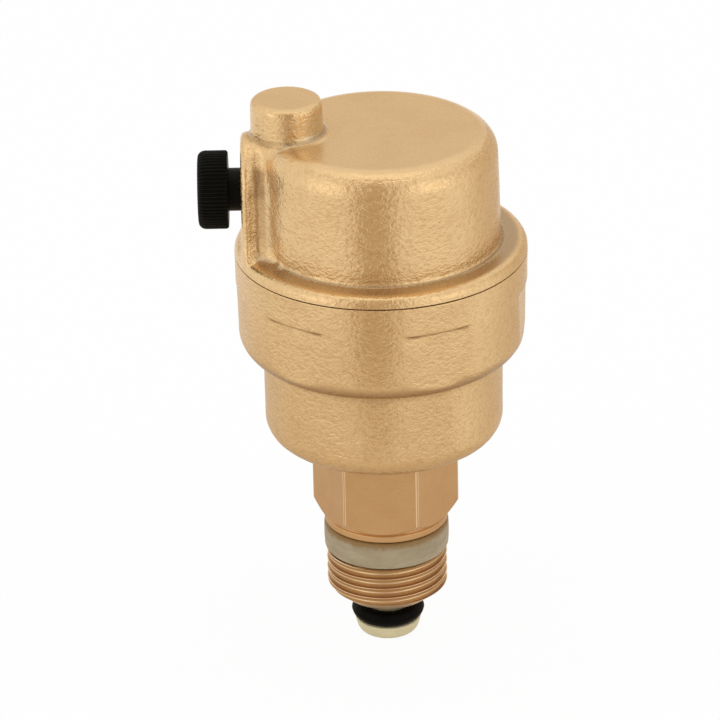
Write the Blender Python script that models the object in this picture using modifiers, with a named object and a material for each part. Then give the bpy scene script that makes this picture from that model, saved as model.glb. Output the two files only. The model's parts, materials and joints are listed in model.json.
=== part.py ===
"""Float air release valve on its automatic shut-off valve, as separate pieces.

Sizes are in millimetres and the helpers turn them to metres. The origin is the centre of
the pipe stub's end face, +Z runs up the vent's axis and the vent cap points along -X.
The valve stands dry and open: the float hangs low and the obturator is off its seat.
"""
import math

import bmesh
import bpy
from mathutils import Matrix, Vector

MM = 0.001
HALF_TURN = math.pi

# Clearances
REST_GAP = 0.25          # a piece and what it rests on or is pressed into
RUN_GAP = 0.3            # around a piece that slides, turns or is screwed in
SNUG_GAP = 0.2           # around an O-ring in its groove or a shank in its hole
CLIP_GAP = 0.15          # around the retaining clip in its groove
CUT_PAST = 1.0           # of a cutter past the face that it opens

# Edges that several pieces share
LEAD_IN = 0.8            # chamfer where a thread or spigot starts
BORE_LEAD_IN = 0.6       # chamfer at the mouth of the tapped bore
SOFT_EDGE = 0.3          # rounding of moulded and turned ends
FINE_EDGE = 0.2          # rounding of the smallest ones

# Shut-off body: G 1/2 stub, seal ring neck and hexagon
PIPE_THREAD_D = 20.955
STUB_L = 9.1
STUB_CHAMFER = 2.1
NECK_D = 18.4
SEAL_RING_D = 21.7
SEAL_RING_H = 5.6
SEAL_RING_EDGE = 0.8
HEX_AF = 22.0
HEX_H = 15.8
HEX_COLLAR_D = 21.4      # round collar under the hexagon's corners
HEX_COLLAR_H = 1.05
HEX_CHAMFER_H = 3.45     # from the collar's underside to the corners
HEX_TOP_D = 23.0         # of the top face, inside the corners' chamfer
HEX_TURN = 25.4          # degrees from the front to a corner
WATER_BORE_D = 10.0
BORE_MOUTH = 1.0
SPRING_SHOULDER = 11.0   # height of the spring's shoulder above the stub's end
SPRING_ROOM_D = 14.6

# Vent stub (G 3/8) screwed into the shut-off body, and its gasket
VENT_THREAD_D = 16.0
VENT_THREAD_CLEARANCE = 0.35
VENT_STUB_L = 9.0
VENT_STUB_BORE_D = 11.0
VENT_PITCH = 1.337
VENT_TURNS = 1.5         # turns of unscrewing that let the plunger close
GASKET_T = 0.5
GASKET_D = 21.0

# Shut-off plunger
PLUNGER_ORING_SECTION = 2.8
PLUNGER_ORING_REACH = 1.35   # of the O-ring past the bore's wall
PLUNGER_HEAD_INSET = 0.9     # of the head inside the O-ring's outside
PLUNGER_TIP_TAPER = 1.15
PLUNGER_HEAD_H = 2.7
PLUNGER_COLLAR_GAP = 0.6     # round the flange above the O-ring, in the bore
PLUNGER_COLLAR_H = 1.0
PLUNGER_CONE_H = 1.5     # from the collar up to the stem
PLUNGER_TIP_EDGE = 1.2
PLUNGER_STEM_D = 4.0
PLUNGER_SPIGOT_D = 3.2
DISC_T = 1.4
DISC_PORT_D = 2.6
DISC_PORT_COUNT = 4
CLIP_T = 0.6
CLIP_D = 5.6
CLIP_GROOVE_D = 2.5
PLUNGER_WIRE_D = 0.9
PLUNGER_SPRING_TURNS = 4

# Vent body
BOWL_D = 41.0
BOWL_EDGE = 3.8
BOWL_BORE_EDGE = 3.0
BOWL_H = 16.3            # from the underside to the shoulder
SHOULDER_STEP = 3.95     # of the wrench band out from the bowl
SHOULDER_ROUND = 4.2
RIM_STEP = 0.52          # of the rim out from the wrench band's foot
RIM_DRAFT = 0.05
RIM_EDGE = 0.4
RIM_H = 5.2              # plain band above the wrench flats
BODY_H = 34.2
BODY_WALL = 2.5
FLOOR_T = 2.7
UPPER_WALL = 2.45
BORE_STEP_H = 4.6        # cone between the two bores
FLAT_DEPTH = 0.3         # of the wrench flats below the band's foot
FLATS_TURN = 22.5        # degrees from the front to the middle of a flat
FLATS_WIDTH = 16.0

# Cover: flange, dome, spigot, boss and outlet pad
FLANGE_T = 2.05
FLANGE_ROUND = 1.9
DOME_DRAFT = 0.5         # taken off the dome's radius from its base to its top
DOME_H = 19.6
DOME_EDGE = 3.2
DOME_FOOT = 1.2          # fillet between dome and flange
DOME_WALL = 2.9
DOME_ROOF_T = 3.0
CAVITY_EDGE = 2.0
SPIGOT_L = 7.75
COVER_ORING_SECTION = 1.7
COVER_GROOVE_DEPTH = 1.7
COVER_GROOVE_DROP = 0.75
BOSS_INSET = 5.05        # of the boss's axis inside the dome's wall
BOSS_D = 12.1
BOSS_RISE = 6.2
BOSS_EDGE = 0.6
PAD_REACH = 2.9          # of the pad's face out from the dome's wall
PAD_W = 16.0             # across its arched top
PAD_H = 19.3             # above the flange
PAD_EDGE = 1.0
PAD_SETBACK = 0.1        # of the pad's corners inside the flange's rim
POST_H = 5.0             # from the flange's top to the underside of the inner post
POST_W = 8.4
POST_END = 3.2           # past the bracket's screw

# Outlet seat, obturator and spring, in the boss
VALVE_BORE_D = 6.2
VALVE_BORE_ROOF = 4.3
SEAT_H = 2.0
SEAT_BORE_D = 2.3
SEAT_GROOVE_D = 4.6
SEAT_ORING_SECTION = 0.6
OBTURATOR_LIFT = 1.4
OBTURATOR_HEAD_D = 4.6
OBTURATOR_HEAD_T = 0.9
OBTURATOR_SEAL_T = 1.0
OBTURATOR_STEM_D = 1.5
OBTURATOR_NUB_D = 2.4
OBTURATOR_NUB_H = 0.8
OBTURATOR_WIRE_D = 0.45
OBTURATOR_SPRING_D = 4.0
OBTURATOR_SPRING_TURNS = 5

# Lever, its bracket, pin and screw
OBTURATOR_ARM = 4.0      # from the obturator's axis to the lever's pivot
PIVOT_DROP = 4.6         # below the inner post
LEVER_T = 1.2
LEVER_W = 4.0
LEVER_TILT = 10.0        # degrees below level at rest, and above it when closed
LEVER_TAIL = 1.2         # past the obturator's axis
LEVER_TIP = 1.5          # past the float's axis
LEVER_LIP_H = 1.0
LEVER_LIP_T = 0.7
LEVER_HUB_D = 3.2
PIN_D = 1.5
PIN_HEAD_D = 2.4
PIN_HEAD_T = 0.6
PIN_END = 0.6            # past the far ear
BRACKET_T = 0.7
BRACKET_EAR_W = 4.0
BRACKET_END = 2.6        # past its screw
SCREW_FROM_PIVOT = 5.65
SCREW_D = 2.5
SCREW_L = 6.0            # depth of its hole in the post
SCREW_TIP_GAP = 0.6      # left above the screw in its hole
SCREW_HEAD_D = 4.8
SCREW_HEAD_T = 0.9
SCREW_SLOT_W = 0.6
SCREW_SLOT_DEPTH = 0.4

# Float
FLOAT_SIDE_GAP = 1.6
FLOAT_FLOOR_GAP = 2.3
FLOAT_WALL = 1.2
FLOAT_ROOF_T = 1.8
FLOAT_EDGE = 3.0
FLOAT_BASE_T = 1.4
FLOAT_BASE_INSET = 0.4
FLOAT_DROP = 3.6         # of the float's top below the lever's nose
HOOK_WIRE_D = 1.0
HOOK_W = 6.2
HOOK_BEND_R = 1.2
HOOK_BOSS_D = 3.2
HOOK_BOSS_H = 2.0
HOOK_GRIP = 1.3          # length of wire inside the float's bosses

# Vent cap
OUTLET_H = 9.3           # of the outlet's axis above the flange
OUTLET_BORE_D = 7.9
OUTLET_BORE_DEPTH = 3.4
ORIFICE_D = 2.0
CAP_TRAVEL = 1.0
CAP_STANDOFF = 2.2
CAP_KNOB_D = 13.3
CAP_KNOB_L = 5.1
CAP_KNOB_EDGE = 0.9
CAP_KNOB_BACK_EDGE = 0.3
CAP_KNURLS = 60
CAP_KNURL_DEPTH = 0.3
CAP_DISH_D = 8.0
CAP_DISH_DEPTH = 0.6
CAP_DISH_TAPER = 0.5
CAP_NECK_D = 7.3
CAP_SEAL_D = 3.8
CAP_SEAL_T = 0.9
CAP_SEAL_PROUD = 0.5

# Heights above the stub's end that follow from the sizes
Z_HEX = STUB_L + SEAL_RING_H
Z_HEX_TOP = Z_HEX + HEX_H
Z_GASKET = Z_HEX_TOP + REST_GAP
Z_BODY = Z_GASKET + GASKET_T + REST_GAP
Z_VENT_STUB = Z_BODY - VENT_STUB_L
Z_SHOULDER = Z_BODY + BOWL_H
Z_FLOOR = Z_BODY + FLOOR_T
Z_RIM = Z_BODY + BODY_H
Z_LEDGE = Z_RIM - RIM_H
Z_SEAM = Z_RIM + REST_GAP
Z_FLANGE = Z_SEAM + FLANGE_T
Z_DOME = Z_FLANGE + DOME_H
Z_BOSS = Z_DOME + BOSS_RISE
Z_SPIGOT = Z_SEAM - SPIGOT_L
Z_POST = Z_FLANGE + POST_H
Z_PIVOT = Z_POST - PIVOT_DROP
Z_OUTLET = Z_FLANGE + OUTLET_H

# Sizes that follow from their neighbours
WATER_BORE_R = WATER_BORE_D / 2
PLUNGER_ORING_R = WATER_BORE_R + PLUNGER_ORING_REACH
PLUNGER_HEAD_R = PLUNGER_ORING_R - PLUNGER_HEAD_INSET
SHOULDER_R = BOWL_D / 2 + SHOULDER_STEP
RIM_R = SHOULDER_R + RIM_STEP
UPPER_BORE_R = SHOULDER_R - UPPER_WALL
DOME_R = BOWL_D / 2
BOSS_X = BOSS_INSET - DOME_R
PAD_X = -DOME_R - PAD_REACH
PIVOT_X = BOSS_X + OBTURATOR_ARM
SCREW_X = PIVOT_X + SCREW_FROM_PIVOT
VENT_LIFT = VENT_PITCH * VENT_TURNS
Z_DISC_TOP = Z_VENT_STUB - REST_GAP
Z_DISC = Z_DISC_TOP - DISC_T
BOWL_BORE_R = BOWL_D / 2 - BODY_WALL
SPIGOT_R = UPPER_BORE_R - RUN_GAP
COVER_GROOVE_R = SPIGOT_R - COVER_GROOVE_DEPTH
CAVITY_R = DOME_R - DOME_WALL
TILT = math.radians(LEVER_TILT)
Z_SEAT = Z_POST + REST_GAP
Z_SEAT_TOP = Z_SEAT + SEAT_H
Z_SEAL = Z_SEAT_TOP + RUN_GAP + OBTURATOR_LIFT
Z_HEAD = Z_SEAL + OBTURATOR_SEAL_T + REST_GAP
Z_HEAD_TOP = Z_HEAD + OBTURATOR_HEAD_T
Z_VALVE_ROOF = Z_BOSS - VALVE_BORE_ROOF
LEVER_HALF_RISE = LEVER_T / 2 / math.cos(TILT)
Z_LEVER_TAIL = Z_PIVOT + OBTURATOR_ARM * math.tan(TILT) + LEVER_HALF_RISE
Z_STEM_FOOT = Z_LEVER_TAIL + REST_GAP
Z_LEVER_NOSE = Z_PIVOT + PIVOT_X * math.tan(TILT) + LEVER_HALF_RISE
Z_HOOK = Z_LEVER_NOSE + REST_GAP + HOOK_WIRE_D / 2
Z_NOSE_LOW = Z_PIVOT - (LEVER_TIP - PIVOT_X) * math.tan(TILT) - LEVER_HALF_RISE
Z_FLOAT_TOP = Z_NOSE_LOW - FLOAT_DROP
Z_FLOAT = Z_FLOOR + FLOAT_FLOOR_GAP
FLOAT_R = BOWL_BORE_R - FLOAT_SIDE_GAP
EAR_IN = LEVER_W / 2 + 2 * RUN_GAP
EAR_OUT = EAR_IN + BRACKET_T
Z_BRACKET = Z_POST - REST_GAP - BRACKET_T

# Foot of the outlet pad: (height above the flange's top, widening of each side)
PAD_FLARE = ((-1.2, 2.1), (0.3, 2.0), (1.2, 1.15), (3.6, 0.4))

# Waist of the outlet pad: (distance behind its face, share of its width)
PAD_WAIST = ((1.1, 1.0), (2.0, 0.93), (3.2, 0.905), (4.2, 0.985), (5.5, 1.0))

# Degrees turned by each facet of a fillet
ARC_STEP = 30

# Colour, roughness and metallic value of each finish
FINISHES = {
    "forged_brass": ((0.66, 0.43, 0.20), 0.42, 1.0),
    "machined_brass": ((0.60, 0.37, 0.17), 0.32, 1.0),
    "stainless": ((0.62, 0.62, 0.60), 0.30, 1.0),
    "seal_white": ((0.46, 0.40, 0.28), 0.45, 0.0),
    "cream_resin": ((0.72, 0.66, 0.47), 0.35, 0.0),
    "float_resin": ((0.85, 0.84, 0.80), 0.40, 0.0),
    "black_rubber": ((0.012, 0.012, 0.012), 0.50, 0.0),
    "black_plastic": ((0.015, 0.015, 0.013), 0.45, 0.0),
    "fibre": ((0.35, 0.12, 0.07), 0.80, 0.0),
}


def clear_scene():
    """Remove what a new file holds."""
    for thing in list(bpy.data.objects):
        bpy.data.objects.remove(thing)


def collection(name):
    """A new collection in the scene."""
    group = bpy.data.collections.new(name)
    bpy.context.scene.collection.children.link(group)
    return group


def finish(name):
    """The Principled material of one finish, made once."""
    known = bpy.data.materials.get(name)
    if known:
        return known
    colour, roughness, metallic = FINISHES[name]
    material = bpy.data.materials.new(name)
    material.use_nodes = True
    shader = material.node_tree.nodes["Principled BSDF"]
    shader.inputs["Base Color"].default_value = (*colour, 1.0)
    shader.inputs["Roughness"].default_value = roughness
    shader.inputs["Metallic"].default_value = metallic
    material.diffuse_color = (*colour, 1.0)
    return material


def place(name, mesh, look, at=(0, 0, 0), turn=(0, 0, 0)):
    """A piece of the model from a mesh, or a cutter when it has no look."""
    piece = bpy.data.objects.new(name, mesh)
    piece.location = Vector(at) * MM
    piece.rotation_euler = [math.radians(angle) for angle in turn]
    if look:
        PIECES.objects.link(piece)
        mesh.materials.append(finish(look))
    else:
        CUTTERS.objects.link(piece)
        piece.hide_render = True
        piece.display_type = "WIRE"
    return piece


def rounded(corners, closed):
    """Profile points from (radius, height, fillet) corners, with each fillet as an arc."""
    count = len(corners)
    points = []
    for index, (x, z, fillet) in enumerate(corners):
        here = Vector((x, z))
        at_end = not closed and index in (0, count - 1)
        if fillet == 0 or at_end:
            points.append(here)
            continue
        before = corners[index - 1]
        after = corners[(index + 1) % count]
        back = Vector(before[:2]) - here
        ahead = Vector(after[:2]) - here
        opening = back.angle(ahead)
        reach = fillet / math.tan(opening / 2)
        reach = min(reach, back.length * (0.49 if before[2] else 0.98))
        reach = min(reach, ahead.length * (0.49 if after[2] else 0.98))
        radius = reach * math.tan(opening / 2)
        middle = here + (back.normalized() + ahead.normalized()).normalized() * (
            radius / math.sin(opening / 2))
        start = here + back.normalized() * reach - middle
        sweep = start.angle_signed(here + ahead.normalized() * reach - middle)
        steps = max(2, round(abs(sweep) / math.radians(ARC_STEP)))
        for step in range(steps + 1):
            turned_by = Matrix.Rotation(-sweep * step / steps, 2)
            points.append(middle + turned_by @ start)
    return points


def turned(name, corners, look=None, steps=30, closed=True, at=(0, 0, 0), turn=(0, 0, 0)):
    """A lathe-turned piece about its own Z axis.

    Corners are (radius, height, fillet). A closed profile stands off the axis, and an open
    one starts and ends on it. Either runs down its outer side.
    """
    points = rounded(corners, closed)
    mesh = bpy.data.meshes.new(name)
    count = len(points)
    edges = [(i, (i + 1) % count) for i in range(count if closed else count - 1)]
    mesh.from_pydata([(p.x * MM, 0, p.y * MM) for p in points], edges, [])
    piece = place(name, mesh, look, at, turn)
    screw = piece.modifiers.new("turn", "SCREW")
    screw.axis = "Z"
    screw.angle = 2 * HALF_TURN
    screw.steps = steps
    screw.render_steps = steps
    screw.use_merge_vertices = True
    screw.merge_threshold = 0.000001
    screw.use_smooth_shade = True
    return piece


def solid(name, form, look=None, at=(0, 0, 0), turn=(0, 0, 0)):
    """A piece from a bmesh that is modelled in millimetres."""
    bmesh.ops.scale(form, vec=(MM, MM, MM), verts=form.verts)
    bmesh.ops.recalc_face_normals(form, faces=form.faces)
    mesh = bpy.data.meshes.new(name)
    form.to_mesh(mesh)
    form.free()
    return place(name, mesh, look, at, turn)


def cylinder(name, radius, low, high, look=None, steps=24, at=(0, 0, 0), turn=(0, 0, 0)):
    """A plain round bar or round cutter from low to high along its own Z axis."""
    form = bmesh.new()
    bmesh.ops.create_cone(form, cap_ends=True, segments=steps, radius1=radius,
                          radius2=radius, depth=high - low)
    bmesh.ops.translate(form, vec=(0, 0, (low + high) / 2), verts=form.verts)
    return solid(name, form, look, at, turn)


def add_box(form, low, high):
    """Add a box to a bmesh from its lowest to its highest corner."""
    low, high = Vector(low), Vector(high)
    box = bmesh.ops.create_cube(form, size=1)["verts"]
    bmesh.ops.scale(form, vec=high - low, verts=box)
    bmesh.ops.translate(form, vec=(low + high) / 2, verts=box)
    return box


def box(name, low, high, look=None, at=(0, 0, 0), turn=(0, 0, 0)):
    """A box, or a box-shaped cutter."""
    form = bmesh.new()
    add_box(form, low, high)
    return solid(name, form, look, at, turn)


def plate(name, outline, thickness, look=None, at=(0, 0, 0), turn=(0, 0, 0)):
    """A flat outline in its own XY plane, as thick as given about that plane."""
    form = bmesh.new()
    corners = [form.verts.new((x, y, -thickness / 2)) for x, y in outline]
    face = form.faces.new(corners)
    raised = bmesh.ops.extrude_face_region(form, geom=[face])["geom"]
    verts = [item for item in raised if isinstance(item, bmesh.types.BMVert)]
    bmesh.ops.translate(form, vec=(0, 0, thickness), verts=verts)
    return solid(name, form, look, at, turn)


def combine(piece, other, operation):
    """Join, cut or keep what two solids share, with an exact Boolean."""
    boolean = piece.modifiers.new(operation.lower(), "BOOLEAN")
    boolean.operation = operation
    boolean.solver = "EXACT"
    boolean.object = other


def cut(piece, *cutters):
    """Take each cutter away from a piece."""
    for cutter in cutters:
        combine(piece, cutter, "DIFFERENCE")


def join(piece, *others):
    """Add each other solid to a piece."""
    for other in others:
        combine(piece, other, "UNION")


def wire(name, points, radius, look):
    """A round wire along points, as a curve with filled ends."""
    curve = bpy.data.curves.new(name, "CURVE")
    curve.dimensions = "3D"
    curve.bevel_depth = radius * MM
    curve.bevel_resolution = 1
    curve.use_fill_caps = True
    spline = curve.splines.new("POLY")
    spline.points.add(len(points) - 1)
    for point, spot in zip(spline.points, points):
        point.co = (*(Vector(spot) * MM), 1)
    piece = bpy.data.objects.new(name, curve)
    curve.materials.append(finish(look))
    PIECES.objects.link(piece)
    return piece


def ring(name, mean_radius, section_radius, look, height=0, steps=26, at=(0, 0, 0)):
    """An O-ring lying level at a height on its own axis."""
    corners = [(mean_radius + section_radius * math.cos(angle),
                height - section_radius * math.sin(angle), 0)
               for angle in (HALF_TURN * step / 3.5 for step in range(7))]
    return turned(name, corners, look, steps, at=at)


def coil(name, mean_radius, wire_radius, low, high, turns, look, at=(0, 0, 0), per_turn=10):
    """A compression spring between two heights, with a closed turn at each end."""
    points = []
    bottom = low + wire_radius
    top = high - wire_radius
    dead = 2.05 * wire_radius
    total = (turns + 2) * per_turn
    for step in range(total + 1):
        turn = step / per_turn
        working = min(max((turn - 1) / turns, 0), 1)
        start = min(turn, 1) * dead
        end = max(turn - turns - 1, 0) * dead
        height = bottom + start + end + working * (top - bottom - 2 * dead)
        angle = 2 * HALF_TURN * turn
        points.append((at[0] + mean_radius * math.cos(angle),
                       at[1] + mean_radius * math.sin(angle), height))
    return wire(name, points, wire_radius, look)


def shutoff_body():
    """Pipe stub, seal neck and hexagon, bored for the plunger and tapped for the vent."""
    bore = WATER_BORE_R
    room = SPRING_ROOM_D / 2
    tapped = VENT_THREAD_D / 2 + VENT_THREAD_CLEARANCE
    thread = PIPE_THREAD_D / 2
    corner, collar = HEX_AF / math.sqrt(3), HEX_COLLAR_D / 2
    z_tapped = Z_VENT_STUB - 2 * REST_GAP
    piece = turned("shutoff_body", [
        (HEX_TOP_D / 2, Z_HEX_TOP, 0), (corner, Z_HEX_TOP - LEAD_IN, 0),
        (corner, Z_HEX + HEX_CHAMFER_H, 0), (collar, Z_HEX + HEX_COLLAR_H, 0),
        (collar, Z_HEX, 0), (NECK_D / 2, Z_HEX, 0), (NECK_D / 2, STUB_L, 0),
        (thread, STUB_L, 0), (thread, STUB_CHAMFER, 0),
        (thread - STUB_CHAMFER, 0, 0), (bore + BORE_MOUTH, 0, 0),
        (bore, BORE_MOUTH, 0), (bore, SPRING_SHOULDER, 0),
        (room, SPRING_SHOULDER, 0), (room, z_tapped - (tapped - room), 0),
        (tapped, z_tapped, 0), (tapped, Z_HEX_TOP - BORE_LEAD_IN, 0),
        (tapped + BORE_LEAD_IN, Z_HEX_TOP, 0)], "machined_brass")
    middle_of_neck = STUB_L + SEAL_RING_H / 2
    hexagon = cylinder("hexagon_envelope", corner, middle_of_neck, Z_HEX_TOP + CUT_PAST,
                       steps=6, turn=(0, 0, HEX_TURN))
    join(hexagon, cylinder("stub_envelope", thread + CUT_PAST, -CUT_PAST,
                           middle_of_neck + SOFT_EDGE))
    combine(piece, hexagon, "INTERSECT")


def thread_seal_ring():
    """Resin ring that seals the stub in its boss, on the neck under the hexagon."""
    low, high = STUB_L + REST_GAP, Z_HEX - REST_GAP
    outer, inner = SEAL_RING_D / 2, NECK_D / 2 + REST_GAP
    turned("thread_seal_ring", [
        (outer, high, SEAL_RING_EDGE), (outer, low, SEAL_RING_EDGE),
        (inner, low, 0), (inner, high, 0)], "seal_white")


def plunger_levels():
    """Heights of the O-ring's centre and of its groove's two sides."""
    middle = -(PLUNGER_ORING_SECTION / 2 + VENT_LIFT)
    half = PLUNGER_ORING_SECTION / 2 + SNUG_GAP
    return middle, middle - half, middle + half


def shutoff_plunger():
    """Resin plunger that closes the water bore when the vent is unscrewed."""
    _, groove_low, groove_high = plunger_levels()
    groove = PLUNGER_ORING_R - PLUNGER_ORING_SECTION - SNUG_GAP
    collar = WATER_BORE_R - PLUNGER_COLLAR_GAP
    stem, spigot = PLUNGER_STEM_D / 2, PLUNGER_SPIGOT_D / 2
    clip = CLIP_GROOVE_D / 2
    clip_low = Z_DISC_TOP + CLIP_GAP
    clip_high = clip_low + CLIP_T + REST_GAP
    collar_top = groove_high + PLUNGER_COLLAR_H
    turned("shutoff_plunger", [
        (0, clip_high + LEAD_IN, 0), (spigot, clip_high + LEAD_IN, SOFT_EDGE),
        (spigot, clip_high, 0),
        (clip, clip_high, 0), (clip, clip_low, 0), (spigot, clip_low, 0),
        (spigot, Z_DISC - REST_GAP, 0), (stem, Z_DISC - REST_GAP, 0),
        (stem, collar_top + PLUNGER_CONE_H, 0), (collar, collar_top, 0),
        (collar, groove_high, 0), (groove, groove_high, 0),
        (groove, groove_low, 0), (PLUNGER_HEAD_R, groove_low, SOFT_EDGE),
        (PLUNGER_HEAD_R - PLUNGER_TIP_TAPER, groove_low - PLUNGER_HEAD_H, PLUNGER_TIP_EDGE),
        (0, groove_low - PLUNGER_HEAD_H, 0)], "cream_resin", 20, closed=False)


def plunger_oring():
    """O-ring round the plunger's head."""
    middle, _, _ = plunger_levels()
    section = PLUNGER_ORING_SECTION / 2
    ring("plunger_oring", PLUNGER_ORING_R - section, section, "black_rubber", middle)


def plunger_disc():
    """Ported disc on the plunger's stem, which the vent's stub pushes and the spring lifts."""
    outer = SPRING_ROOM_D / 2 - RUN_GAP
    inner = PLUNGER_SPIGOT_D / 2 + SNUG_GAP
    piece = turned("plunger_disc", [
        (outer, Z_DISC_TOP, 0), (outer, Z_DISC, 0),
        (inner, Z_DISC, 0), (inner, Z_DISC_TOP, 0)], "stainless", 28)
    ports = bmesh.new()
    reach = (VENT_STUB_BORE_D / 2 + inner) / 2
    for index in range(DISC_PORT_COUNT):
        port = bmesh.ops.create_cone(ports, cap_ends=True, segments=12,
                                     radius1=DISC_PORT_D / 2, radius2=DISC_PORT_D / 2,
                                     depth=DISC_T * 3)["verts"]
        angle = 2 * HALF_TURN * index / DISC_PORT_COUNT
        bmesh.ops.translate(ports, verts=port, vec=(
            reach * math.cos(angle), reach * math.sin(angle), Z_DISC))
    cut(piece, solid("disc_ports", ports))


def plunger_clip():
    """Retaining clip that holds the disc on the plunger."""
    low = Z_DISC_TOP + CLIP_GAP + REST_GAP / 2
    inner = CLIP_GROOVE_D / 2 + CLIP_GAP
    turned("plunger_clip", [
        (CLIP_D / 2, low + CLIP_T, 0), (CLIP_D / 2, low, 0),
        (inner, low, 0), (inner, low + CLIP_T, 0)], "stainless", 24)


def plunger_spring():
    """Compression spring that lifts the plunger as the vent is unscrewed."""
    wire_radius = PLUNGER_WIRE_D / 2
    mean = (WATER_BORE_R + SPRING_ROOM_D / 2) / 2
    coil("plunger_spring", mean, wire_radius, SPRING_SHOULDER + REST_GAP,
         Z_DISC - REST_GAP, PLUNGER_SPRING_TURNS, "stainless")


def stub_gasket():
    """Flat gasket between the hexagon's top and the vent body."""
    inner = VENT_THREAD_D / 2 + RUN_GAP
    turned("stub_gasket", [
        (GASKET_D / 2, Z_GASKET + GASKET_T, 0), (GASKET_D / 2, Z_GASKET, 0),
        (inner, Z_GASKET, 0), (inner, Z_GASKET + GASKET_T, 0)], "fibre")


def vent_body():
    """Forged bowl with a wider wrench band above and a threaded stub below."""
    stub, stub_bore = VENT_THREAD_D / 2, VENT_STUB_BORE_D / 2
    z_step = Z_SHOULDER + BODY_WALL / 2
    piece = turned("vent_body", [
        (RIM_R, Z_RIM, RIM_EDGE), (RIM_R - RIM_DRAFT, Z_LEDGE, 0),
        (SHOULDER_R, Z_SHOULDER, SHOULDER_ROUND), (BOWL_D / 2, Z_SHOULDER, 0),
        (BOWL_D / 2, Z_BODY, BOWL_EDGE), (stub, Z_BODY, 0),
        (stub, Z_VENT_STUB + LEAD_IN, 0), (stub - LEAD_IN, Z_VENT_STUB, 0),
        (stub_bore, Z_VENT_STUB, 0), (stub_bore, Z_FLOOR, 0),
        (BOWL_BORE_R, Z_FLOOR, BOWL_BORE_EDGE), (BOWL_BORE_R, z_step, 0),
        (UPPER_BORE_R, z_step + BORE_STEP_H, 0), (UPPER_BORE_R, Z_RIM, 0)],
        "forged_brass", 44)
    flats = bmesh.new()
    for index in range(6):
        block = add_box(flats, (SHOULDER_R - FLAT_DEPTH, -FLATS_WIDTH / 2,
                                Z_SHOULDER - CUT_PAST),
                        (RIM_R + CUT_PAST, FLATS_WIDTH / 2, Z_LEDGE))
        angle = math.radians(FLATS_TURN - 90 + 60 * index)
        bmesh.ops.rotate(flats, verts=block, matrix=Matrix.Rotation(angle, 3, "Z"))
    cut(piece, solid("wrench_flats", flats))


def inner_post(name):
    """The post inside the dome that holds the seat and the lever's bracket."""
    column = cylinder(name, BOSS_D / 2, Z_POST, Z_DOME + CUT_PAST, steps=32,
                      at=(BOSS_X, 0, 0))
    join(column, box(name + "_arm", (BOSS_X, -POST_W / 2, Z_POST),
                     (SCREW_X + POST_END, POST_W / 2, Z_DOME + CUT_PAST / 2)))
    return column


def outlet_pad():
    """Upright pad on the dome's side that carries the vent cap.

    Its top is an arch, its foot flares out over the flange and its sides are waisted
    behind the face.
    """
    half = PAD_W / 2
    centre = Z_FLANGE + PAD_H - half
    arch = [(centre + half * math.sin(angle), half * math.cos(angle))
            for angle in (HALF_TURN * step / 12 for step in range(13))]
    foot = [(Z_FLANGE + rise, half + wider) for rise, wider in PAD_FLARE]
    outline = foot + arch + [(z, -y) for z, y in reversed(foot)]
    form = bmesh.new()
    face = form.faces.new([form.verts.new((PAD_X, y, z)) for z, y in outline])
    behind, width = 0, 1
    for there, share in (*PAD_WAIST, (BOSS_X - PAD_X, 1)):
        grown = bmesh.ops.extrude_face_region(form, geom=[face])["geom"]
        if behind:
            bmesh.ops.delete(form, geom=[face], context="FACES_ONLY")
        face = next(item for item in grown if isinstance(item, bmesh.types.BMFace))
        bmesh.ops.translate(form, vec=(there - behind, 0, 0), verts=face.verts)
        bmesh.ops.scale(form, vec=(1, share / width, 1), verts=face.verts)
        behind, width = there, share
    pad = solid("outlet_pad", form)
    rounding = pad.modifiers.new("edge", "BEVEL")
    rounding.width = PAD_EDGE * MM
    rounding.segments = 2
    rounding.limit_method = "ANGLE"
    rounding.angle_limit = math.radians(60)
    combine(pad, cylinder("pad_limit", RIM_R - PAD_SETBACK, Z_FLANGE - FLANGE_T, Z_BOSS,
                          steps=88), "INTERSECT")
    return pad


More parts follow.
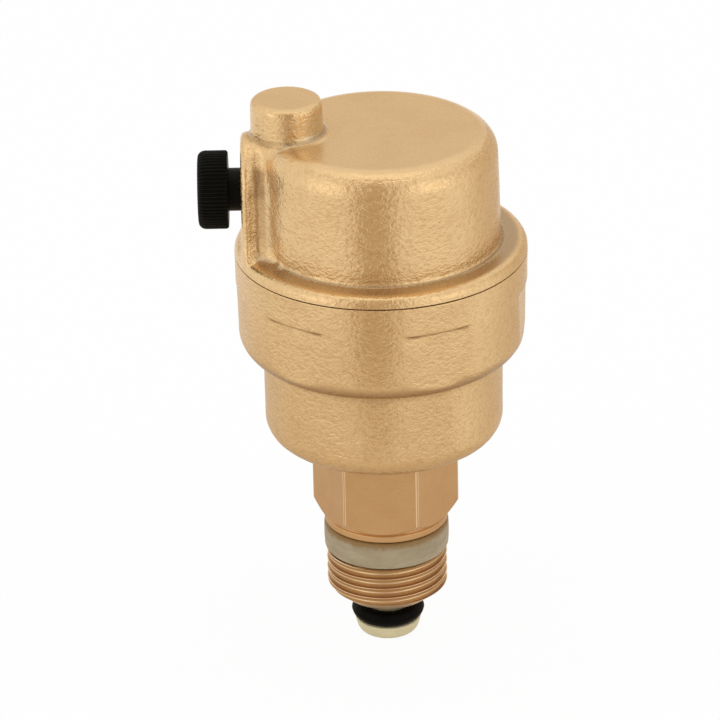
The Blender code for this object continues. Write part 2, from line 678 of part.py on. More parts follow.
def cover():
    """Forged cover: flange, dome, outlet pad and boss, with a threaded spigot below."""
    groove_top = Z_SEAM - COVER_GROOVE_DROP
    groove_low = groove_top - COVER_ORING_SECTION - REST_GAP / 2
    groove = COVER_GROOVE_R
    z_boss_foot = Z_POST + CUT_PAST / 2
    piece = turned("cover", [
        (0, Z_DOME, 0), (DOME_R - DOME_DRAFT, Z_DOME, DOME_EDGE), (DOME_R, Z_FLANGE, DOME_FOOT),
        (RIM_R, Z_FLANGE, FLANGE_ROUND), (RIM_R, Z_SEAM, 0), (SPIGOT_R, Z_SEAM, 0),
        (SPIGOT_R, groove_top, 0), (groove, groove_top, 0), (groove, groove_low, 0),
        (SPIGOT_R, groove_low, 0), (SPIGOT_R, Z_SPIGOT + LEAD_IN, 0),
        (SPIGOT_R - LEAD_IN, Z_SPIGOT, 0), (0, Z_SPIGOT, 0)],
        "forged_brass", 44, closed=False)
    boss = turned("boss", [
        (0, Z_BOSS, 0), (BOSS_D / 2, Z_BOSS, BOSS_EDGE), (BOSS_D / 2, z_boss_foot, 0),
        (0, z_boss_foot, 0)], None, 32, closed=False, at=(BOSS_X, 0, 0))
    cavity = turned("cavity", [
        (0, Z_DOME - DOME_ROOF_T, 0), (CAVITY_R, Z_DOME - DOME_ROOF_T, CAVITY_EDGE),
        (CAVITY_R, Z_SPIGOT - CUT_PAST, 0), (0, Z_SPIGOT - CUT_PAST, 0)],
        None, 48, closed=False)
    cut(cavity, inner_post("inner_post"))
    bore = cylinder("valve_bore", VALVE_BORE_D / 2, Z_POST - CUT_PAST, Z_VALVE_ROOF,
                    at=(BOSS_X, 0, 0))
    tapped = cylinder("bracket_screw_hole", SCREW_D / 2 + SNUG_GAP, Z_POST - CUT_PAST,
                      Z_POST + SCREW_L, steps=16, at=(SCREW_X, 0, 0))
    outlet = cylinder("outlet_bore", OUTLET_BORE_D / 2, -OUTLET_BORE_DEPTH, CUT_PAST,
                      at=(PAD_X, 0, Z_OUTLET), turn=(0, -90, 0))
    orifice = cylinder("orifice", ORIFICE_D / 2, -(BOSS_X - PAD_X), CUT_PAST, steps=16,
                       at=(PAD_X, 0, Z_OUTLET), turn=(0, -90, 0))
    join(piece, outlet_pad(), boss)
    cut(piece, cavity, bore, tapped, outlet, orifice)


def cover_oring():
    """O-ring that seals the cover's spigot in the body."""
    section = COVER_ORING_SECTION / 2
    height = Z_SEAM - COVER_GROOVE_DROP - section - REST_GAP / 4
    ring("cover_oring", COVER_GROOVE_R + section + REST_GAP / 2, section,
         "black_rubber", height, 36)


def valve_seat():
    """Turned seat pressed into the boss from below."""
    outer = VALVE_BORE_D / 2 - REST_GAP
    middle = (Z_SEAT + Z_SEAT_TOP) / 2
    half = SEAT_ORING_SECTION / 2 + 0.1
    turned("valve_seat", [
        (outer, Z_SEAT_TOP, 0), (outer, middle + half, 0),
        (SEAT_GROOVE_D / 2, middle + half, 0), (SEAT_GROOVE_D / 2, middle - half, 0),
        (outer, middle - half, 0), (outer, Z_SEAT, 0),
        (SEAT_BORE_D / 2, Z_SEAT, 0), (SEAT_BORE_D / 2, Z_SEAT_TOP, 0)],
        "machined_brass", 20, at=(BOSS_X, 0, 0))


def seat_oring():
    """Small O-ring round the seat."""
    section = SEAT_ORING_SECTION / 2
    ring("seat_oring", SEAT_GROOVE_D / 2 + 0.1 + section, section, "black_rubber",
         (Z_SEAT + Z_SEAT_TOP) / 2, 16, at=(BOSS_X, 0, 0))


def obturator():
    """Stem and head that the lever lifts off the seat, with the rubber seal under the head."""
    stem, head, nub = OBTURATOR_STEM_D / 2, OBTURATOR_HEAD_D / 2, OBTURATOR_NUB_D / 2
    turned("obturator_stem", [
        (0, Z_HEAD_TOP + OBTURATOR_NUB_H, 0), (nub, Z_HEAD_TOP + OBTURATOR_NUB_H, FINE_EDGE),
        (nub, Z_HEAD_TOP, 0), (head, Z_HEAD_TOP, FINE_EDGE), (head, Z_HEAD, 0),
        (stem, Z_HEAD, 0), (stem, Z_STEM_FOOT, SOFT_EDGE), (0, Z_STEM_FOOT, 0)],
        "stainless", 16, closed=False, at=(BOSS_X, 0, 0))
    inner = stem + SNUG_GAP
    turned("obturator_seal", [
        (head, Z_SEAL + OBTURATOR_SEAL_T, 0), (head, Z_SEAL, FINE_EDGE),
        (inner, Z_SEAL, 0), (inner, Z_SEAL + OBTURATOR_SEAL_T, 0)],
        "black_rubber", 16, at=(BOSS_X, 0, 0))


def obturator_spring():
    """Light spring that presses the obturator down onto its seat."""
    wire_radius = OBTURATOR_WIRE_D / 2
    coil("obturator_spring", OBTURATOR_SPRING_D / 2 - wire_radius, wire_radius,
         Z_HEAD_TOP + REST_GAP, Z_VALVE_ROOF - REST_GAP, OBTURATOR_SPRING_TURNS,
         "stainless", at=(BOSS_X, 0, 0), per_turn=8)


def pivot_empty():
    """Empty on the lever's axis, tilted as the lever lies when the float hangs low."""
    pivot = bpy.data.objects.new("lever_pivot", None)
    pivot.location = Vector((PIVOT_X, 0, Z_PIVOT)) * MM
    pivot.rotation_euler = (0, TILT, 0)
    pivot.empty_display_size = 5 * MM
    PIECES.objects.link(pivot)
    return pivot


def lever(pivot):
    """See-saw lever: the float hangs on its long arm, its tail lifts the obturator."""
    half = LEVER_T / 2
    tail = -(OBTURATOR_ARM + LEVER_TAIL)
    tip = -PIVOT_X / math.cos(TILT) + LEVER_TIP
    outline = [(tail, -half), (tip, -half), (tip, half + LEVER_LIP_H),
               (tip - LEVER_LIP_T, half + LEVER_LIP_H), (tip - LEVER_LIP_T, half),
               (tail, half)]
    piece = plate("lever", outline, LEVER_W, "stainless", turn=(90, 0, 0))
    hub = cylinder("lever_hub", LEVER_HUB_D / 2, -LEVER_W / 2 - RUN_GAP,
                   LEVER_W / 2 + RUN_GAP, steps=24)
    hole = cylinder("lever_pin_hole", PIN_D / 2 + SNUG_GAP, -LEVER_W, LEVER_W, steps=24)
    join(piece, hub)
    cut(piece, hole)
    for item in (piece, hub, hole):
        item.rotation_euler = (HALF_TURN / 2, 0, 0)
        item.parent = pivot


def lever_pin():
    """Headed pin through the bracket's ears and the lever's hub."""
    turned("lever_pin", [
        (0, EAR_OUT + PIN_END, 0), (PIN_D / 2, EAR_OUT + PIN_END, FINE_EDGE),
        (PIN_D / 2, -EAR_OUT - REST_GAP, 0), (PIN_HEAD_D / 2, -EAR_OUT - REST_GAP, 0),
        (PIN_HEAD_D / 2, -EAR_OUT - REST_GAP - PIN_HEAD_T, FINE_EDGE),
        (0, -EAR_OUT - REST_GAP - PIN_HEAD_T, 0)],
        "stainless", 16, closed=False, at=(PIVOT_X, 0, Z_PIVOT), turn=(-90, 0, 0))


def lever_bracket():
    """Bent sheet bracket screwed under the post, with two ears for the pin."""
    ear = BRACKET_EAR_W / 2
    top = Z_BRACKET + BRACKET_T
    piece = box("lever_bracket", (PIVOT_X - ear, -EAR_OUT, Z_BRACKET),
                (SCREW_X + BRACKET_END, EAR_OUT, top), "stainless")
    arc = [(ear * math.cos(angle), Z_PIVOT + ear * math.sin(angle))
           for angle in (HALF_TURN + HALF_TURN * step / 8 for step in range(9))]
    outline = [(ear, top - 0.1), (-ear, top - 0.1)] + arc
    for side in (-1, 1):
        ear_plate = plate(f"bracket_ear_{side + 2}", outline, BRACKET_T,
                          at=(PIVOT_X, side * (EAR_IN + EAR_OUT) / 2, 0), turn=(90, 0, 0))
        join(piece, ear_plate)
    hole = cylinder("bracket_pin_hole", PIN_D / 2 + 0.1, -2 * EAR_OUT, 2 * EAR_OUT, steps=20,
                    at=(PIVOT_X, 0, Z_PIVOT), turn=(90, 0, 0))
    clear = cylinder("bracket_hole", SCREW_D / 2 + REST_GAP, Z_BRACKET - CUT_PAST,
                     top + CUT_PAST, steps=16, at=(SCREW_X, 0, 0))
    cut(piece, hole, clear)


def bracket_screw():
    """Slotted screw that holds the bracket to the post."""
    seat = Z_BRACKET - REST_GAP
    tip = Z_POST + SCREW_L - SCREW_TIP_GAP
    shank, head = SCREW_D / 2, SCREW_HEAD_D / 2
    piece = turned("bracket_screw", [
        (0, tip, 0), (shank, tip, SOFT_EDGE),
        (shank, seat, 0), (head, seat, 0), (head, seat - SCREW_HEAD_T, SOFT_EDGE),
        (0, seat - SCREW_HEAD_T, 0)], "stainless", 16, closed=False, at=(SCREW_X, 0, 0))
    low = seat - SCREW_HEAD_T
    cut(piece, box("driver_slot", (-head - CUT_PAST, -SCREW_SLOT_W / 2, low - CUT_PAST),
                   (head + CUT_PAST, SCREW_SLOT_W / 2, low + SCREW_SLOT_DEPTH),
                   at=(SCREW_X, 0, 0)))


def float_shell():
    """Hollow float, open below, with two bosses for its hook."""
    inner = FLOAT_R - FLOAT_WALL
    roof = Z_FLOAT_TOP - FLOAT_ROOF_T
    piece = turned("float_shell", [
        (0, Z_FLOAT_TOP, 0), (FLOAT_R, Z_FLOAT_TOP, FLOAT_EDGE), (FLOAT_R, Z_FLOAT, SOFT_EDGE),
        (inner, Z_FLOAT, 0), (inner, roof, FLOAT_EDGE - FLOAT_WALL), (0, roof, 0)],
        "float_resin", closed=False)
    for side in (-1, 1):
        spot = (0, side * HOOK_W / 2, 0)
        boss = cylinder(f"hook_boss_{side + 2}", HOOK_BOSS_D / 2, roof + FLOAT_ROOF_T / 2,
                        Z_FLOAT_TOP + HOOK_BOSS_H, steps=16, at=spot)
        socket = cylinder(f"hook_socket_{side + 2}", HOOK_WIRE_D / 2 + REST_GAP,
                          Z_FLOAT_TOP + HOOK_BOSS_H - HOOK_GRIP - REST_GAP,
                          Z_FLOAT_TOP + HOOK_BOSS_H + CUT_PAST, steps=12, at=spot)
        join(piece, boss)
        cut(piece, socket)


def float_base():
    """Disc snapped into the float's lower end."""
    rim = FLOAT_R - FLOAT_WALL - REST_GAP
    low = Z_FLOAT + FLOAT_BASE_INSET
    turned("float_base", [
        (0, low + FLOAT_BASE_T, 0), (rim, low + FLOAT_BASE_T, 0), (rim, low, SOFT_EDGE),
        (0, low, 0)], "float_resin", closed=False)


def float_hook():
    """Wire stirrup over the lever, with its legs in the float's bosses."""
    half = HOOK_W / 2
    foot = Z_FLOAT_TOP + HOOK_BOSS_H - HOOK_GRIP
    bend = HOOK_BEND_R
    points = [(0, -half, foot)]
    for side in (-1, 1):
        for step in range(5):
            angle = HALF_TURN / 2 * (step / 4 if side < 0 else 1 - step / 4)
            points.append((0, side * (half - bend + bend * math.cos(angle)),
                           Z_HOOK - bend + bend * math.sin(angle)))
    points.append((0, half, foot))
    wire("float_hook", points, HOOK_WIRE_D / 2, "stainless")


def cap_seal():
    """Rubber disc in the cap's nose that closes the orifice when the cap is tight."""
    face = OUTLET_BORE_DEPTH - RUN_GAP - CAP_TRAVEL
    turned("cap_seal", [
        (0, -face + CAP_SEAL_T, 0), (CAP_SEAL_D / 2, -face + CAP_SEAL_T, 0),
        (CAP_SEAL_D / 2, -face, FINE_EDGE), (0, -face, 0)],
        "black_rubber", 16, closed=False, at=(PAD_X, 0, Z_OUTLET), turn=(0, -90, 0))


def vent_cap():
    """Knurled cap on its threaded neck; the knurls keep their count round the rim."""
    place_at = dict(at=(PAD_X, 0, Z_OUTLET), turn=(0, -90, 0))
    radius, neck = CAP_KNOB_D / 2, CAP_NECK_D / 2
    face = OUTLET_BORE_DEPTH - RUN_GAP - CAP_TRAVEL
    nose = -face + CAP_SEAL_PROUD
    pocket = -face + CAP_SEAL_T + REST_GAP
    inside = CAP_STANDOFF + CAP_KNOB_L / 4
    knob = bmesh.new()
    disc = bmesh.ops.create_circle(knob, cap_ends=True, radius=radius,
                                   segments=2 * CAP_KNURLS)["verts"]
    for vert in disc[1::2]:
        vert.co *= 1 - CAP_KNURL_DEPTH / radius
    back, edge = CAP_KNOB_BACK_EDGE, CAP_KNOB_EDGE
    bmesh.ops.translate(knob, vec=(0, 0, CAP_STANDOFF), verts=disc)
    bmesh.ops.scale(knob, vec=(1 - back / radius, 1 - back / radius, 1), verts=disc)
    top, height, wide = knob.faces[0:1], 0, 1 - back / radius
    for rise, inset in ((back, 0), (CAP_KNOB_L - edge, 0), (CAP_KNOB_L - edge * 0.3, edge * 0.3),
                        (CAP_KNOB_L, edge)):
        grown = bmesh.ops.extrude_face_region(knob, geom=top)["geom"]
        if height:
            bmesh.ops.delete(knob, geom=top, context="FACES_ONLY")
        top = [item for item in grown if isinstance(item, bmesh.types.BMFace)]
        share = (1 - inset / radius) / wide
        bmesh.ops.translate(knob, vec=(0, 0, rise - height), verts=top[0].verts)
        bmesh.ops.scale(knob, vec=(share, share, 1), verts=top[0].verts)
        height, wide = rise, 1 - inset / radius
    piece = solid("vent_cap", knob, "black_plastic", **place_at)
    stem = turned("cap_neck", [
        (0, inside, 0), (neck, inside, 0), (neck, nose, SOFT_EDGE),
        (CAP_SEAL_D / 2 + REST_GAP, nose, 0), (CAP_SEAL_D / 2 + REST_GAP, pocket, 0),
        (0, pocket, 0)], None, 24, closed=False, **place_at)
    outer_face = CAP_STANDOFF + CAP_KNOB_L
    dish = turned("cap_dish", [
        (0, outer_face + CUT_PAST, 0), (CAP_DISH_D / 2, outer_face + CUT_PAST, 0),
        (CAP_DISH_D / 2 - CAP_DISH_TAPER, outer_face - CAP_DISH_DEPTH, SOFT_EDGE),
        (0, outer_face - CAP_DISH_DEPTH, 0)], None, 24, closed=False, **place_at)
    join(piece, stem)
    cut(piece, dish)


clear_scene()
PIECES = collection("air_release_valve")
CUTTERS = collection("cutters")
shutoff_body()
thread_seal_ring()
shutoff_plunger()
plunger_oring()
plunger_disc()
plunger_clip()
plunger_spring()
stub_gasket()
vent_body()
cover()
cover_oring()
valve_seat()
seat_oring()
obturator()
obturator_spring()
lever(pivot_empty())
lever_pin()
lever_bracket()
bracket_screw()
float_shell()
float_base()
float_hook()
cap_seal()
vent_cap()
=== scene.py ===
"""Looks of a float air release valve on its automatic shut-off valve.

The packed model gives the frame, in metres. Profiles and forms below are written in
millimetres and are scaled as each piece is finished. Heights run up the vent's axis from
the end of the pipe stub, and the vent cap points along -X.
"""
import json
import math
from types import SimpleNamespace

import bmesh
import bpy
from bpy.props import FloatProperty, FloatVectorProperty, IntProperty, PointerProperty
from mathutils import Matrix, Vector, noise


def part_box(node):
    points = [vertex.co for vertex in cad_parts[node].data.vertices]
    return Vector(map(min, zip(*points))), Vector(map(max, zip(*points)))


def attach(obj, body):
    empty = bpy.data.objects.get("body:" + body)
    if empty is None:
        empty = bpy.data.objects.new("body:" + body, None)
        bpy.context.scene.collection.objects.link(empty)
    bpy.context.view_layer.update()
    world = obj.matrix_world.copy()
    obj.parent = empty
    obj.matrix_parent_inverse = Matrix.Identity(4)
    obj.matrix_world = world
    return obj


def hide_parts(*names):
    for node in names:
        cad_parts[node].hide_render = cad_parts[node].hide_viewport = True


bl_info = {
    "name": "Air Release Valve Looks",
    "version": (1, 0, 0),
    "blender": (4, 5, 0),
    "location": "3D View > Sidebar > Air Valve",
    "description": "Detailed pieces, finishes and studio for a float air release valve",
    "category": "Object",
}

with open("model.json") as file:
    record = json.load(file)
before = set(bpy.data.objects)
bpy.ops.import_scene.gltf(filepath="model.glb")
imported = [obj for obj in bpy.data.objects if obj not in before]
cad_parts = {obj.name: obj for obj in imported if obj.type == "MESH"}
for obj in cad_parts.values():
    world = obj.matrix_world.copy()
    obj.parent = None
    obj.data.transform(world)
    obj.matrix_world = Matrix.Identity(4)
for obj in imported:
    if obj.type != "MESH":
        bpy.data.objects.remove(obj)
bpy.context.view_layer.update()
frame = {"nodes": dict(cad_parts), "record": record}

MM = 0.001
TAU = 2 * math.pi
ARC_STEP = math.radians(9)        # turned by each facet of a fillet
SLIVER = 0.0005                   # points this close are merged after a Boolean
SLOW_WAVE, QUICK_WAVE = 5.0, 1.9  # lengths of the forged skin's waves


# Sizes and colours
def length(name, millimetres, description):
    """A length property with its default given in millimetres."""
    return FloatProperty(name=name, description=description, default=millimetres * MM,
                         min=0.0, soft_max=0.2, precision=5, unit="LENGTH")


def colour(name, code, description):
    """A colour property with its default given as an sRGB hex value."""
    return FloatVectorProperty(name=name, description=description, subtype="COLOR",
                               size=4, min=0.0, max=1.0, default=linear(code))


def linear(code):
    """Linear RGBA of an sRGB hex value such as D9B27A."""
    parts = [int(code[i:i + 2], 16) / 255 for i in (0, 2, 4)]
    return (*[c / 12.92 if c <= 0.04045 else ((c + 0.055) / 1.055) ** 2.4 for c in parts],
            1.0)


class CoverSizes(bpy.types.PropertyGroup):
    """Forged cover."""
    dome_radius: length("Dome radius", 20.5, "Radius of the dome at its foot")
    dome_top_radius: length("Dome top radius", 20.0, "Radius of the dome at its top")
    dome_top: length("Dome top", 87.6, "Height of the dome's flat top")
    dome_edge: length("Dome edge", 4.0, "Rounding of the dome's top edge")
    dome_foot: length("Dome foot", 0.4, "Fillet between dome and flange")
    flange_radius: length("Flange radius", 24.95, "Radius of the flange")
    flange_top: length("Flange top", 68.0, "Height of the flange's top")
    flange_edge: length("Flange edge", 1.6, "Rounding of the flange's upper edge")
    seam: length("Seam", 65.95, "Height of the joint with the body")
    boss_radius: length("Boss radius", 6.28, "Radius of the upright boss")
    boss_top: length("Boss top", 93.78, "Height of the boss")
    boss_offset: length("Boss offset", 15.45, "Distance of the boss from the vent's axis")
    pad_reach: length("Pad face", 23.4, "Distance of the outlet pad's face from the axis")
    pad_half_width: length("Pad half width", 8.0, "Half width of the outlet pad")
    pad_top: length("Pad top", 87.3, "Height of the outlet pad's arch")
    outlet: length("Outlet height", 77.3, "Height of the outlet's axis")
    grain: length("Forged waviness", 0.045, "Depth of the forged skin's slow waves")


class BodySizes(bpy.types.PropertyGroup):
    """Forged vent body."""
    bowl_radius: length("Bowl radius", 20.5, "Radius of the lower bowl")
    bowl_edge: length("Bowl edge", 3.8, "Rounding of the bowl's lower edge")
    band_radius: length("Band radius", 24.45, "Radius at the foot of the wrench band")
    rim_radius: length("Rim radius", 24.95, "Radius of the plain rim")
    underside: length("Underside", 31.5, "Height of the body's underside")
    shoulder: length("Shoulder", 47.8, "Height of the step between bowl and band")
    ledge: length("Ledge", 60.45, "Height of the upper end of the wrench flats")
    rim: length("Rim", 65.86, "Height of the rim")
    flat_distance: length("Flat distance", 24.13, "Distance of a wrench flat from the axis")
    flats_turn: FloatProperty(name="Flats turn", subtype="ANGLE", default=math.radians(22.5),
                              description="Turn from the front to the middle of a flat")
    grain: length("Forged waviness", 0.045, "Depth of the forged skin's slow waves")


class StubSizes(bpy.types.PropertyGroup):
    """Shut-off body with its pipe thread, seal ring and hexagon."""
    crest_radius: length("Crest radius", 10.478, "Crest radius of the G 1/2 thread")
    pitch: length("Pitch", 1.814, "Pitch of the G 1/2 thread")
    depth: length("Thread depth", 1.162, "Depth of the thread")
    thread_top: length("Thread top", 9.1, "Height of the thread's upper end")
    neck_radius: length("Neck radius", 9.2, "Radius of the neck under the seal ring")
    ring_radius: length("Seal ring radius", 10.85, "Outer radius of the seal ring")
    collar_radius: length("Collar radius", 10.72, "Radius of the collar under the hexagon")
    collar_low: length("Collar low", 14.7, "Height of the collar's underside")
    collar_high: length("Collar high", 15.85, "Height of the collar's upper end")
    corner_low: length("Corner low", 18.15, "Height where the hexagon's corners start")
    hex_top: length("Hexagon top", 30.5, "Height of the hexagon's top")
    across_flats: length("Across flats", 22.0, "Width of the hexagon across its flats")
    hex_turn: FloatProperty(name="Hexagon turn", subtype="ANGLE",
                            default=math.radians(25.4),
                            description="Turn from the front to a corner")


class CapSizes(bpy.types.PropertyGroup):
    """Knurled vent cap."""
    radius: length("Knob radius", 6.65, "Radius over the knurls")
    width: length("Knob width", 5.1, "Length of the knob along its axis")
    standoff: length("Standoff", 2.2, "Neck that shows between pad and knob")
    neck_radius: length("Neck radius", 3.65, "Radius of the cap's neck")
    knurl_depth: length("Knurl depth", 0.3, "Depth of the knurls")
    knurls: IntProperty(name="Knurls", description="Knurls round the knob", default=60,
                        min=12, max=120)


class FinishColours(bpy.types.PropertyGroup):
    """Colours of the finishes."""
    forged: colour("Forged brass", "E4C18D", "Blasted skin of the forgings")
    forged_dark: colour("Forged brass, dark", "B98D57", "Pits and hollows of the skin")
    # painted shade: the darker tone that corners, lines and faces turned down are painted with
    forged_deep: colour("Forged brass, deep", "98744C", "Oxide left in corners and lines")
    machined: colour("Machined brass", "D2A876", "Turned and milled brass")
    # painted light and shade on the thread: crests and upper flanks painted darker, roots painted
    # pale
    thread: colour("Thread crests", "B48A59", "Tarnished crests of the pipe thread")
    thread_root: colour("Thread roots", "E2C79F", "Roots and flanks of the pipe thread")
    # painted reflection: a grey tone painted over the orange where faces meet
    forged_painted_reflection: colour("Forged brass, dull", "CCC0A4", "Grey bloom where faces meet")
    # painted highlights on crest edges and hexagon corners, painted light on the chamfer, and a
    # painted pale reflection on the stub's lip
    burnished: colour("Burnished brass", "F8DCB6", "Crests and corners rubbed bright")
    seal: colour("Seal resin", "9D8D70", "Translucent resin of the seal ring")
    seal_pale: colour("Seal resin, pale", "AB9D81", "Paler clouds in the seal ring")
    # stain and painted shade at both edges of the seal ring
    seal_stain: colour("Seal edge", "8A6737", "Brass showing through the ring's edges")
    cream: colour("Cream resin", "D9CDA4", "Acetal of the shut-off plunger")
    float_resin: colour("Float resin", "E6E4DC", "Polypropylene of the float")
    rubber: colour("Rubber", "060504", "Moulded nitrile rubber")
    plastic: colour("Black plastic", "090805", "Moulded nylon of the cap")
    steel: colour("Stainless steel", "C9C8C4", "Springs, lever and screws")
    fibre: colour("Fibre", "8A4A33", "Pressed fibre gasket")


class StudioSettings(bpy.types.PropertyGroup):
    """Camera and light."""
    distance: length("Camera distance", 900, "From the camera to the vent's middle")
    elevation: FloatProperty(name="Elevation", subtype="ANGLE", default=math.radians(26.0),
                             description="Height of the camera above level")
    roll: FloatProperty(name="Roll", subtype="ANGLE", default=-0.022,
                        description="Turn of the camera about its own axis")
    lens: FloatProperty(name="Lens", unit="CAMERA", default=262.35,
                        description="Focal length on a 36 mm sensor")


# Shaping, in millimetres
def in_mm(group):
    """A group's lengths in millimetres, and its other values as they are."""
    kinds = type(group).bl_rna.properties
    return SimpleNamespace(**{
        name: getattr(group, name) / MM if kinds[name].unit == "LENGTH"
        else getattr(group, name)
        for name in type(group).__annotations__})


def rounded(corners, closed=True, longest=None):
    """Profile points from (radius, height, fillet) corners, with each fillet as an arc.

    Where longest is given, straight runs are divided so that no edge is longer.
    """
    count = len(corners)
    points = []
    for index, corner in enumerate(corners):
        here = Vector(corner[:2])
        fillet = corner[2] if len(corner) > 2 else 0
        if not fillet or (not closed and index in (0, count - 1)):
            points.append(here)
            continue
        before = corners[index - 1]
        after = corners[(index + 1) % count]
        back, ahead = Vector(before[:2]) - here, Vector(after[:2]) - here
        opening = back.angle(ahead)
        reach = fillet / math.tan(opening / 2)
        reach = min(reach, back.length * (0.49 if len(before) > 2 else 0.98),
                    ahead.length * (0.49 if len(after) > 2 else 0.98))
        radius = reach * math.tan(opening / 2)
        middle = here + (back.normalized() + ahead.normalized()).normalized() * (
            radius / math.sin(opening / 2))
        start = here + back.normalized() * reach - middle
        sweep = start.angle_signed(here + ahead.normalized() * reach - middle)
        steps = max(3, round(abs(sweep) / ARC_STEP))
        points += [middle + Matrix.Rotation(-sweep * step / steps, 2) @ start
                   for step in range(steps + 1)]
    if longest is None:
        return points
    divided = []
    for index, point in enumerate(points):
        divided.append(point)
        after = points[(index + 1) % len(points)]
        if index + 1 < len(points) or closed:
            parts = math.ceil((after - point).length / longest)
            divided += [point.lerp(after, part / parts) for part in range(1, parts)]
    return divided


def spun(corners, steps, closed=True, longest=None, turn=0.0, at=(0, 0)):
    """A form turned about Z from a profile, which is closed or has its ends on the axis."""
    form = bmesh.new()
    verts = [form.verts.new((p.x, 0, p.y)) for p in rounded(corners, closed, longest)]
    pairs = list(zip(verts, verts[1:])) + ([(verts[-1], verts[0])] if closed else [])
    edges = [form.edges.new(pair) for pair in pairs]
    bmesh.ops.rotate(form, verts=verts, matrix=Matrix.Rotation(turn, 3, "Z"))
    bmesh.ops.spin(form, geom=verts + edges, axis=(0, 0, 1), angle=TAU, steps=steps,
                   use_merge=True)
    bmesh.ops.remove_doubles(form, verts=form.verts, dist=0.001)
    bmesh.ops.recalc_face_normals(form, faces=form.faces)
    bmesh.ops.translate(form, verts=form.verts, vec=(at[0], at[1], 0))
    return form


def bar(radius, low, high, steps=64, at=(0, 0)):
    """A plain round bar, mostly used as a cutter."""
    return spun([(0, low), (radius, low), (radius, high), (0, high)], steps, closed=False,
                at=at)


def block(low, high):
    """A box between two corners."""
    form = bmesh.new()
    bmesh.ops.create_cube(form, size=1)
    low, high = Vector(low), Vector(high)
    bmesh.ops.scale(form, verts=form.verts, vec=high - low)
    bmesh.ops.translate(form, verts=form.verts, vec=(low + high) / 2)
    return form


def along_x(form, at):
    """Lay a form that stands on Z along -X, with its foot at a point."""
    bmesh.ops.rotate(form, verts=form.verts, matrix=Matrix.Rotation(-TAU / 4, 3, "Y"))
    bmesh.ops.translate(form, verts=form.verts, vec=at)
    return form


def mesh_of(form, name):
    """A new mesh that takes over a form."""
    mesh = bpy.data.meshes.new(name)
    form.to_mesh(mesh)
    form.free()
    return mesh


def shaped_by(form, modifiers, *others):
    """The form after modifiers. Each is (kind, settings); a Boolean takes the next other form."""
    holders = []
    for item in (form, *others):
        holders.append(bpy.data.objects.new("shaping", mesh_of(item, "shaping")))
        bpy.context.scene.collection.objects.link(holders[-1])
    tools = iter(holders[1:])
    for kind, settings in modifiers:
        modifier = holders[0].modifiers.new(kind.lower(), kind)
        for name, value in settings.items():
            setattr(modifier, name, value)
        if kind == "BOOLEAN":
            modifier.solver = "EXACT"
            modifier.object = next(tools)
    graph = bpy.context.evaluated_depsgraph_get()
    result = bmesh.new()
    mesh = bpy.data.meshes.new_from_object(holders[0].evaluated_get(graph))
    result.from_mesh(mesh)
    bpy.data.meshes.remove(mesh)
    for holder in holders:
        bpy.data.meshes.remove(holder.data)
    return result


def cut(form, *tools):
    """Take solids away from a form."""
    return shaped_by(form, [("BOOLEAN", {"operation": "DIFFERENCE"})] * len(tools), *tools)


def joined(form, *others):
    """Unite a form with others."""
    return shaped_by(form, [("BOOLEAN", {"operation": "UNION"})] * len(others), *others)


def within(form, envelope):
    """Keep what lies inside an envelope."""
    return shaped_by(form, [("BOOLEAN", {"operation": "INTERSECT"})], envelope)


def add_form(form, other):
    """Put another form's faces into a form."""
    mesh = mesh_of(other, "part")
    form.from_mesh(mesh)
    bpy.data.meshes.remove(mesh)


def smooth(form, verts, times):
    """Relax points towards their neighbours."""
    for _ in range(times):
        bmesh.ops.smooth_vert(form, verts=verts, factor=0.5, use_axis_x=True,
                              use_axis_y=True, use_axis_z=True)


def round_off(form, edges, width):
    """Round edges off."""
    bmesh.ops.bevel(form, geom=edges, offset=width, offset_type="OFFSET", segments=4,
                    profile=0.5, affect="EDGES", clamp_overlap=True, material=-1)


def draw_out(form, face, stations, along, across):
    """Extrude a face through stations, each its distance and its width there.

    along and across hold 1 for the axes on which the face moves and changes width.
    """
    for (here, now), (there, then) in zip(stations, stations[1:]):
        grown = bmesh.ops.extrude_face_region(form, geom=[face])["geom"]
        moved = [item for item in grown if isinstance(item, bmesh.types.BMVert)]
        old = face
        face = next(item for item in grown if isinstance(item, bmesh.types.BMFace))
        if here:
            bmesh.ops.delete(form, geom=[old], context="FACES_ONLY")
        bmesh.ops.translate(form, verts=moved, vec=Vector(along) * (there - here))
        bmesh.ops.scale(form, verts=moved, vec=[then / now if wide else 1 for wide in across])
    bmesh.ops.recalc_face_normals(form, faces=form.faces)


def off_sixth(at, turn):
    """Angle from a point to the nearest of six even directions, one turned from the front."""
    return (math.atan2(at.x, -at.y) - turn + TAU / 12) % (TAU / 6) - TAU / 12


def threaded_bar(tooth, root, depth, pitch, start, turns, steps=96):
    """A bar with a thread along it, closed by a cone at both ends.

    tooth is one pitch of the profile, from root to root, as shares of depth and pitch.
    """
    form = bmesh.new()
    verts = [form.verts.new((root + rise * depth, 0, start + up * pitch))
             for rise, up in tooth]
    edges = [form.edges.new(pair) for pair in zip(verts, verts[1:])]
    bmesh.ops.spin(form, geom=verts + edges, axis=(0, 0, 1), angle=TAU * turns,
                   steps=steps * turns, dvec=(0, 0, pitch / steps))
    bmesh.ops.remove_doubles(form, verts=form.verts, dist=0.002)
    rims = [edge for edge in form.edges if edge.is_boundary]
    end = start + turns * pitch
    for high, tip in ((False, start - pitch), (True, end + 2 * pitch)):
        loop = [edge for edge in rims
                if edge.is_valid and (edge.verts[0].co.z > (start + end) / 2) == high]
        grown = bmesh.ops.extrude_edge_only(form, edges=loop)["geom"]
        moved = [item for item in grown if isinstance(item, bmesh.types.BMVert)]
        bmesh.ops.pointmerge(form, verts=moved, merge_co=(0, 0, tip))
    bmesh.ops.recalc_face_normals(form, faces=form.faces)
    return form


